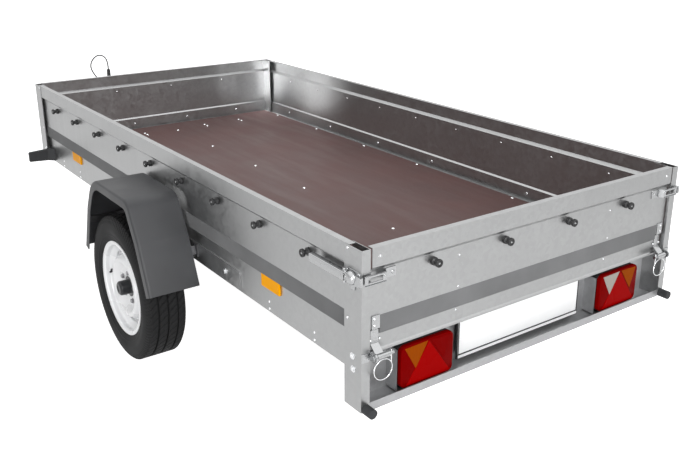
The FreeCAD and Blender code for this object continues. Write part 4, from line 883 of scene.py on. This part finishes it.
def lamp_cheeks():
    """Folded sheet beside each lamp, from the bar's web back to the lens."""
    shape = bmesh.new()
    beside = LAMP_WIDTH / 2 + 0.0015
    low = (LAMP_FACE + 0.016, LAMP_BOTTOM - 0.010)
    high = (BAR_WEB - 0.0005, LAMP_TOP - 0.012)
    for side in (-1, 1):
        for x in (side * LAMP_X - beside, side * LAMP_X + beside):
            closed_box(shape, (x - CHEEK_HALF, *low), (x + CHEEK_HALF, *high))
    piece("lamp_cheeks", shape, "bar_sheet", "trailer", smooth=FLAT)


# Number plate

def plate_trim():
    """Black edge round the blank plate, and the blank white strip on its holder, with a black line."""
    black, white = bmesh.new(), bmesh.new()
    half, low, high, face = plate_high.x, plate_low.z, plate_high.z, plate_low.y

    def line(shape, x_from_to, z_from_to, stand=0.0002, sheet=0.0008):
        closed_box(shape, (x_from_to[0], face - stand - sheet, z_from_to[0]),
                   (x_from_to[1], face - stand, z_from_to[1]))

    line(black, (-half, half), (low, low + PLATE_LINE))
    line(black, (-half, half), (high - PLATE_LINE, high))
    for x in (-half, half - PLATE_LINE):
        line(black, (x, x + PLATE_LINE), (low + PLATE_LINE, high - PLATE_LINE))
    for shape, heights in ((black, PLATE_STRIP_LINE), (white, PLATE_STRIP)):
        line(shape, (-half, half), [low + height for height in heights], stand=0.0012, sheet=0.001)
    piece("plate_edge", black, "black_plastic", "trailer", smooth=FLAT)
    piece("plate_strip", white, "plate_white", "trailer", smooth=FLAT)


# Mudguards

def arc_path(points, radii, steps):
    """Points joined by straight lines, with each inner corner turned at its radius."""
    path = [Vector(points[0])]
    for before, corner, after, radius in zip(points, points[1:], points[2:], radii):
        here = Vector(corner)
        back = (Vector(before) - here).normalized()
        on = (Vector(after) - here).normalized()
        half = back.angle(on) / 2
        reach = radius / math.tan(half)
        middle = here + (back + on).normalized() * (radius / math.sin(half))
        first, last = here + back * reach - middle, here + on * reach - middle
        whole = first.angle(last)
        for step in range(steps + 1):
            share = step / steps
            spoke = first * math.sin((1 - share) * whole) + last * math.sin(share * whole)
            path.append(middle + spoke / math.sin(whole))
    path.append(Vector(points[-1]))
    return path


def guard_section():
    """Section of the guard in (x, depth): flat top, round outer edge, lip turned down, and back inside."""
    outer, inner, sheet, lip, edge = GUARD_OUTER, GUARD_INNER, GUARD_SHEET, GUARD_LIP, GUARD_EDGE_R
    chamfer = 0.0012
    corner = []
    for step in range(7):
        angle = math.pi / 2 * step / 6
        corner.append((math.sin(angle), 1 - math.cos(angle)))
    section = [(inner, sheet * 0.7), (inner, sheet * 0.3), (inner + 0.001, 0)]
    section += [(outer - edge + edge * a, edge * b) for a, b in corner]
    section += [(outer, lip - 0.0035), (outer, lip - chamfer), (outer - chamfer, lip),
                (outer - sheet + chamfer, lip), (outer - sheet, lip - chamfer)]
    inside = edge - sheet
    section += [(outer - edge + inside * a, sheet + inside * b) for a, b in reversed(corner)]
    return section + [(inner + 0.001, sheet)]


def mudguard(side):
    """Moulded arch round the wheel: the section moved along the path."""
    path = arc_path(GUARD_PATH, GUARD_RADII, steps=10)
    sections = []
    for before, point, after in zip(path[:1] + path, path, path[1:] + path[-1:]):
        ahead = (after - before).normalized()
        inward = Vector((-ahead.y, ahead.x))
        sections.append([(side * x, *(point + inward * depth)) for x, depth in guard_section()])
    shape = bmesh.new()
    stack(shape, sections)
    return shape


def mudguards():
    for side, name in ((-1, "left"), (1, "right")):
        piece("guard_" + name, mudguard(side), "mudguard_plastic", "trailer",
              replaced=["mudguard_" + name], smooth=SMALL_ANGLE)


# Keepers

def keepers():
    """Strap from the gate across the post on each side, with turned edges, a window and a joggle."""
    shape = bmesh.new()
    low, high = keepers_low.z, keepers_high.z
    front = keepers_low.y
    back = front + KEEPER_SHEET
    foot_front = GATE_PANEL - KEEPER_SHEET
    foot_end = KEEPER_KNEE - KEEPER_JOGGLE
    window = KEEPER_WINDOW
    for side in (-1, 1):
        def bar(x_from_to, y_from_to, z_from_to):
            x_low, x_high = sorted(side * x for x in x_from_to)
            closed_box(shape, (x_low, y_from_to[0], z_from_to[0]), (x_high, y_from_to[1], z_from_to[1]))

        bar((KEEPER_KNEE, window[0]), (front, back), (low, high))
        bar((window[1], KEEPER_OUT), (front, back), (low, high))
        bar(window, (front, back), (low, low + KEEPER_WINDOW_EDGE))
        bar(window, (front, back), (high - KEEPER_WINDOW_EDGE, high))
        for edge in ((low, low + KEEPER_LIP_SHEET), (high - KEEPER_LIP_SHEET, high)):
            bar((KEEPER_KNEE, KEEPER_OUT), (front - KEEPER_LIP, front), edge)
        bar((KEEPER_IN, foot_end), (foot_front, GATE_PANEL), (low, high))
        joggle = [(KEEPER_KNEE, front), (KEEPER_KNEE, back), (foot_end, GATE_PANEL), (foot_end, foot_front)]
        prism(shape, [(side * x, y, low) for x, y in joggle], (0, 0, high - low))
        rivet(shape, (side * (KEEPER_IN + 0.012), foot_front, LATCH_Z), (0, -1, 0), SKIRT_RIVET_R)
        rivet(shape, (side * (KEEPER_KNEE + 0.005), front, LATCH_Z + 0.004), (0, -1, 0), SMALL_RIVET_R)
    made = piece("keeper_straps", shape, "bright_zinc", "tailgate", replaced=["tailgate_keepers"],
                 smooth=SMALL_ANGLE)
    soft_edges(made, 0.0005, angle=50)


# Latches

def lever_section():
    """Channel of the lever in (out, up), open towards the post."""
    foot, top, half, sheet = LATCH_SHEET, LEVER_OUT, LEVER_HALF, LEVER_SHEET
    outside = [(foot, half), (top, half), (top, -half), (foot, -half)]
    inside = [(foot, -half + sheet), (top - sheet, -half + sheet), (top - sheet, half - sheet),
              (foot, half - sheet)]
    return softened(outside + inside, 0.003)


def latch(shape, side):
    """Over-centre latch: plate with a tongue, dome, channel lever with bands, hook's bar and claw."""
    face = side * HALF_WIDTH

    def at(out, y, up):
        return (face + side * out, y, LATCH_Z + up)

    sheet = (side * LATCH_SHEET, 0, 0)
    rear, front = LATCH_PLATE
    plate = rounded_rectangle((rear, LATCH_Z - LATCH_HALF), (front, LATCH_Z + LATCH_HALF), LATCH_CORNER_R,
                              steps=4)
    prism(shape, [(face, y, z) for y, z in plate], sheet)
    tongue = ((-0.011, -0.021), (0.011, -0.021), (0.008, -0.034), (-0.008, -0.034))
    prism(shape, [at(0, LATCH_MIDDLE + y, up) for y, up in tongue], sheet)
    dome = [(0, 0), (DOME_R, 0), (DOME_R, 0.008), (DOME_R * 0.7, 0.0145), (0.006, 0.017), (0, 0.017)]
    turn(shape, softened(dome, 0.005, closed=False), at(LATCH_SHEET, LATCH_MIDDLE, 0), (side, 0, 0), steps=40,
         closed=False)
    start = LATCH_MIDDLE + DOME_R
    prism(shape, [at(out, start, up) for out, up in lever_section()], (0, latches_high.y - start, 0))
    band = softened([(0.0125, -0.003), (0.0145, -0.003), (0.0145, 0.003), (0.0125, 0.003)], 0.001)
    for place in LEVER_BANDS:
        turn(shape, band, at(0.006, place, 0), (0, 1, 0), steps=24)
    bar = [(0, 0), (HOOK_BAR_R, 0), (HOOK_BAR_R, 2 * HOOK_BAR_HALF), (0, 2 * HOOK_BAR_HALF)]
    turn(shape, bar, at(0.010, LATCH_MIDDLE + 0.026, -HOOK_BAR_HALF), (0, 0, 1), steps=16, closed=False)
    claw_low, claw_high = sorted(face + side * out for out in CLAW_OUT)
    closed_box(shape, (claw_low, CLAW_FROM_TO[0], LATCH_Z - LEVER_HALF),
               (claw_high, CLAW_FROM_TO[1], LATCH_Z + LEVER_HALF))
    ahead, apart = LATCH_RIVETS
    for up in (-apart, apart):
        for place in (ahead, -ahead):
            rivet(shape, at(LATCH_SHEET, LATCH_MIDDLE + place, up), (side, 0, 0), SMALL_RIVET_R)


def latches():
    shape = bmesh.new()
    for side in (-1, 1):
        latch(shape, side)
    soft_edges(piece("latch_sets", shape, "bright_zinc", "trailer", replaced=["latches"]), 0.0006, angle=50)


# Small fasteners

def fasteners(name, shape, body):
    piece(name, shape, "polished_zinc", body, smooth=SMALL_ANGLE)


def floor_screws():
    shape = bmesh.new()
    across, along = FLOOR_SCREWS
    places = [(x, y) for x in across for y in along]
    across, along = FRONT_FLOOR_SCREWS
    places += [(x, y) for y in along for x in across]
    for x, y in places:
        rivet(shape, (x, y, FLOOR_TOP), (0, 0, 1), SCREW_R)
    fasteners("floor_screws", shape, "trailer")


def gate_rivets():
    shape = bmesh.new()

    def head(x, y, z, radius):
        rivet(shape, (x, y, z), (0, -1, 0), radius)

    for x in GATE_RIVET_X:
        for z in GATE_RIVET_Z:
            head(x, GATE_PANEL, z, SMALL_RIVET_R)
        head(x, GATE_SKIRT, GATE_SKIRT_RIVET_Z, SMALL_RIVET_R)
    for side in (-1, 1):
        head(side * GATE_CORNER_RIVET[0], REAR, GATE_CORNER_RIVET[1], RIVET_R)
        for z in STRAP_RIVETS[1]:
            head(side * STRAP_RIVETS[0], GATE_PANEL - STRAP_FACE, z, STRAP_RIVET_R)
        for x in STRAP_FOOT_RIVETS[0]:
            head(side * x, GATE_SKIRT - STRAP_FACE, STRAP_FOOT_RIVETS[1], RIVET_R)
    fasteners("gate_rivets", shape, "tailgate")


def wall_rivets():
    """Heads on posts, rails and side plates outside, and on the walls' inner faces."""
    shape = bmesh.new()
    skirt, panel = HALF_WIDTH - WALL_SKIRT, HALF_WIDTH - WALL_PANEL
    for side in (-1, 1):
        out, into = (side, 0, 0), (-side, 0, 0)
        for z in POST_RIVET_Z:
            for y in (REAR + POST_SIDE - POST_RIVET_INSET, FRONT - POST_SIDE + POST_RIVET_INSET):
                rivet(shape, (side * HALF_WIDTH, y, z), out, RIVET_R)
        for y, z in POST_BOLTS:
            hex_bolt(shape, (side * HALF_WIDTH, y, z), out, 0.0065)
        for y in RAIL_RIVETS[0]:
            for z in RAIL_RIVETS[1]:
                rivet(shape, (side * skirt, y, z), out, STRAP_RIVET_R)
        for y in SIDE_PLATE_BOLTS[0]:
            hex_bolt(shape, (side * SIDE_PLATE_FACE, y, SIDE_PLATE_BOLTS[1]), out, 0.0075)
        for y in SKIRT_RIVETS[0]:
            rivet(shape, (side * (skirt - SHEET), y, SKIRT_RIVETS[1]), into, SKIRT_RIVET_R)
        for y in even_places(*KNOB_PLACES):
            rivet(shape, (side * (panel - SHEET), y, KNOB_Z), into, RIVET_R)
    for x in FRONT_RIVETS[0]:
        rivet(shape, (x, FRONT - WALL_PANEL - SHEET, FRONT_RIVETS[1]), (0, -1, 0), RIVET_R)
        rivet(shape, (x + FRONT_SKIRT_SHIFT, FRONT - WALL_SKIRT - SHEET, SKIRT_RIVETS[1]), (0, -1, 0),
              SKIRT_RIVET_R)
    fasteners("wall_rivets", shape, "trailer")


# Jockey wheel

def jack_tyre():
    shape = bmesh.new()
    side = softened([(0.064, 0.025), (0.088, 0.025), (0.100, 0.013)], 0.008, closed=False)
    profile = [(0.0575, 0.010)] + side + opposite(side) + [(0.0575, -0.010)]
    turn(shape, profile, JACK_CENTRE, (1, 0, 0), steps=96)
    piece("jack_tyre", shape, "black_rubber", "jack_wheel", replaced=["jack_wheel"])


def jack_web():
    """Long hub, web and rim in one, with ribs on both faces."""
    shape = bmesh.new()
    half = [(0.016, 0.029), (0.016, 0.011), (0.052, 0.009), (0.054, 0.013), (0.060, 0.013)]
    web = softened([(JACK_BORE_R, 0.029)] + half + opposite(half) + [(JACK_BORE_R, -0.029)], 0.002)
    turn(shape, web, JACK_CENTRE, (1, 0, 0), steps=72)
    for index in range(JACK_RIBS):
        angle = 2 * math.pi * index / JACK_RIBS
        along = Vector((0, math.cos(angle), math.sin(angle)))
        across = Vector((0, -math.sin(angle), math.cos(angle))) * JACK_RIB_HALF
        inner, outer = [Vector(JACK_CENTRE) + along * reach for reach in JACK_RIB_FROM_TO]
        for face in (-1, 1):
            start = Vector((face * 0.008, 0, 0))
            rib = [inner + across, outer + across, outer - across, inner - across]
            prism(shape, [corner + start for corner in rib], (face * 0.006, 0, 0))
    piece("jack_wheel_web", shape, "black_plastic", "jack_wheel", ["jack_wheel"])


# Lead

def lead():
    """The electric lead, from its gland up and over into the parked plug."""
    curve = bpy.data.curves.new("lead_cord", "CURVE")
    curve.dimensions = "3D"
    curve.resolution_u = 12
    curve.bevel_depth = LEAD_RADIUS
    curve.bevel_resolution = 4
    curve.use_fill_caps = True
    spline = curve.splines.new("NURBS")
    spline.points.add(len(LEAD_POINTS) - 1)
    for point, place in zip(spline.points, LEAD_POINTS):
        point.co = (*place, 1)
    spline.order_u = 3
    spline.use_endpoint_u = True
    cord = piece("lead_cord", curve, "black_rubber", "trailer", replaced=["lead"])


# Camera, light and floor

def camera():
    width, height = PHOTO_PIXELS
    data = bpy.data.cameras.new("camera")
    data.sensor_width = SENSOR
    data.lens = FOCAL_PIXELS / width * SENSOR
    data.shift_x = (width / 2 - PRINCIPAL_PIXEL[0]) / width
    data.shift_y = (PRINCIPAL_PIXEL[1] - height / 2) / width
    view = bpy.data.objects.new("camera", data)
    heading = Matrix.Rotation(-CAMERA_HEADING, 4, "Z") @ Matrix.Rotation(math.pi / 2 + CAMERA_PITCH, 4, "X")
    view.matrix_world = Matrix.Translation(CAMERA_PLACE) @ heading @ Matrix.Rotation(CAMERA_ROLL, 4, "Z")
    bpy.context.scene.collection.objects.link(view)
    bpy.context.scene.camera = view


def surroundings():
    """A soft white as light. Where it is seen or mirrored it goes from pale grey to white as it rises."""
    world = bpy.data.worlds.new("studio")
    world.use_nodes = True
    bpy.context.scene.world = world
    nodes = Nodes(world.node_tree)
    soft = nodes.tree.nodes["Background"]
    nodes.feed(soft, {"Color": (1, 1, 1, 1), "Strength": 0.42})
    place = nodes.add("ShaderNodeTexCoord").outputs["Generated"]
    height = nodes.add("ShaderNodeSeparateXYZ", {"Vector": place}).outputs["Z"]
    white = nodes.add("ShaderNodeBackground", {"Strength": nodes.spread(height, 1.0, 2.2, 0.15, 0.60)})
    shown = nodes.where_seen(soft.outputs["Background"], white.outputs["Background"])
    nodes.feed(nodes.tree.nodes["World Output"], {"Surface": shown})


def floor():
    """Plain pale floor that looks white to the camera and to what mirrors it."""
    bpy.ops.mesh.primitive_plane_add(size=60, location=(0, 0, 0))
    plane = bpy.context.object
    plane.name = "studio_floor"
    s = Surface("studio_floor", (0.80, 0.80, 0.80), 0.9)
    matt = s.shader.outputs["BSDF"]
    by_camera = s.add("ShaderNodeLightPath").outputs["Is Camera Ray"]
    glow = s.add("ShaderNodeEmission", {"Strength": s.spread(by_camera, 0.64, 0.95)}).outputs["Emission"]
    glowing = s.add("ShaderNodeAddShader", {0: matt, 1: glow}).outputs["Shader"]
    s.feed(s.tree.nodes["Material Output"], {"Surface": s.where_seen(matt, glowing)})
    plane.data.materials.append(s.material)


def soft_box(name, place, target, size, power):
    data = bpy.data.lights.new(name, "AREA")
    data.shape = "DISK"
    data.size = size
    data.energy = power
    lamp = bpy.data.objects.new(name, data)
    lamp.location = place
    lamp.rotation_euler = (Vector(target) - Vector(place)).to_track_quat("-Z", "Y").to_euler()
    bpy.context.scene.collection.objects.link(lamp)
    return lamp


def glint(name, place, target, size, power):
    """A small soft light close to the sheet, for the bright corners where two sheets mirror each other."""
    lamp = soft_box(name, place, target, size, power)
    lamp.data.spread = math.radians(100)
    lamp.visible_camera = False


def lights():
    soft_box("key_light", (-1.4, -6.0, 3.0), (0, -0.6, 0.5), size=2.0, power=170)
    soft_box("side_light", (-5.5, -4.6, 1.0), (-0.7, -0.6, 0.4), size=1.6, power=110)
    soft_box("top_light", (1.0, 1.0, 6.0), (0, -0.3, 0.4), size=4.0, power=40)
    glint("corner_glint", (0.36, 0.52, 0.68), (0.636, 0.824, 0.68), size=0.12, power=0.5)
    glint("wall_glint", (0.42, 0.54, 0.66), (0.636, 0.48, 0.67), size=0.26, power=0.22)
    glint("low_glint", (0.50, 0.68, 0.60), (0.636, 0.824, 0.57), size=0.06, power=0.08)
    glint("bar_glint", (0.572, -1.875, 0.45), (0.575, -1.771, 0.41), size=0.03, power=0.03)


bpy.context.scene.view_settings.view_transform = "Standard"
camera()
surroundings()
floor()
lights()
dress_nodes()
lead()
stripes()
wheels()
knobs()
hinge_rings()
lamp_lenses()
lamp_cheeks()
plate_trim()
mudguards()
keepers()
latches()
floor_screws()
gate_rivets()
wall_rivets()
jack_tyre()
jack_web()
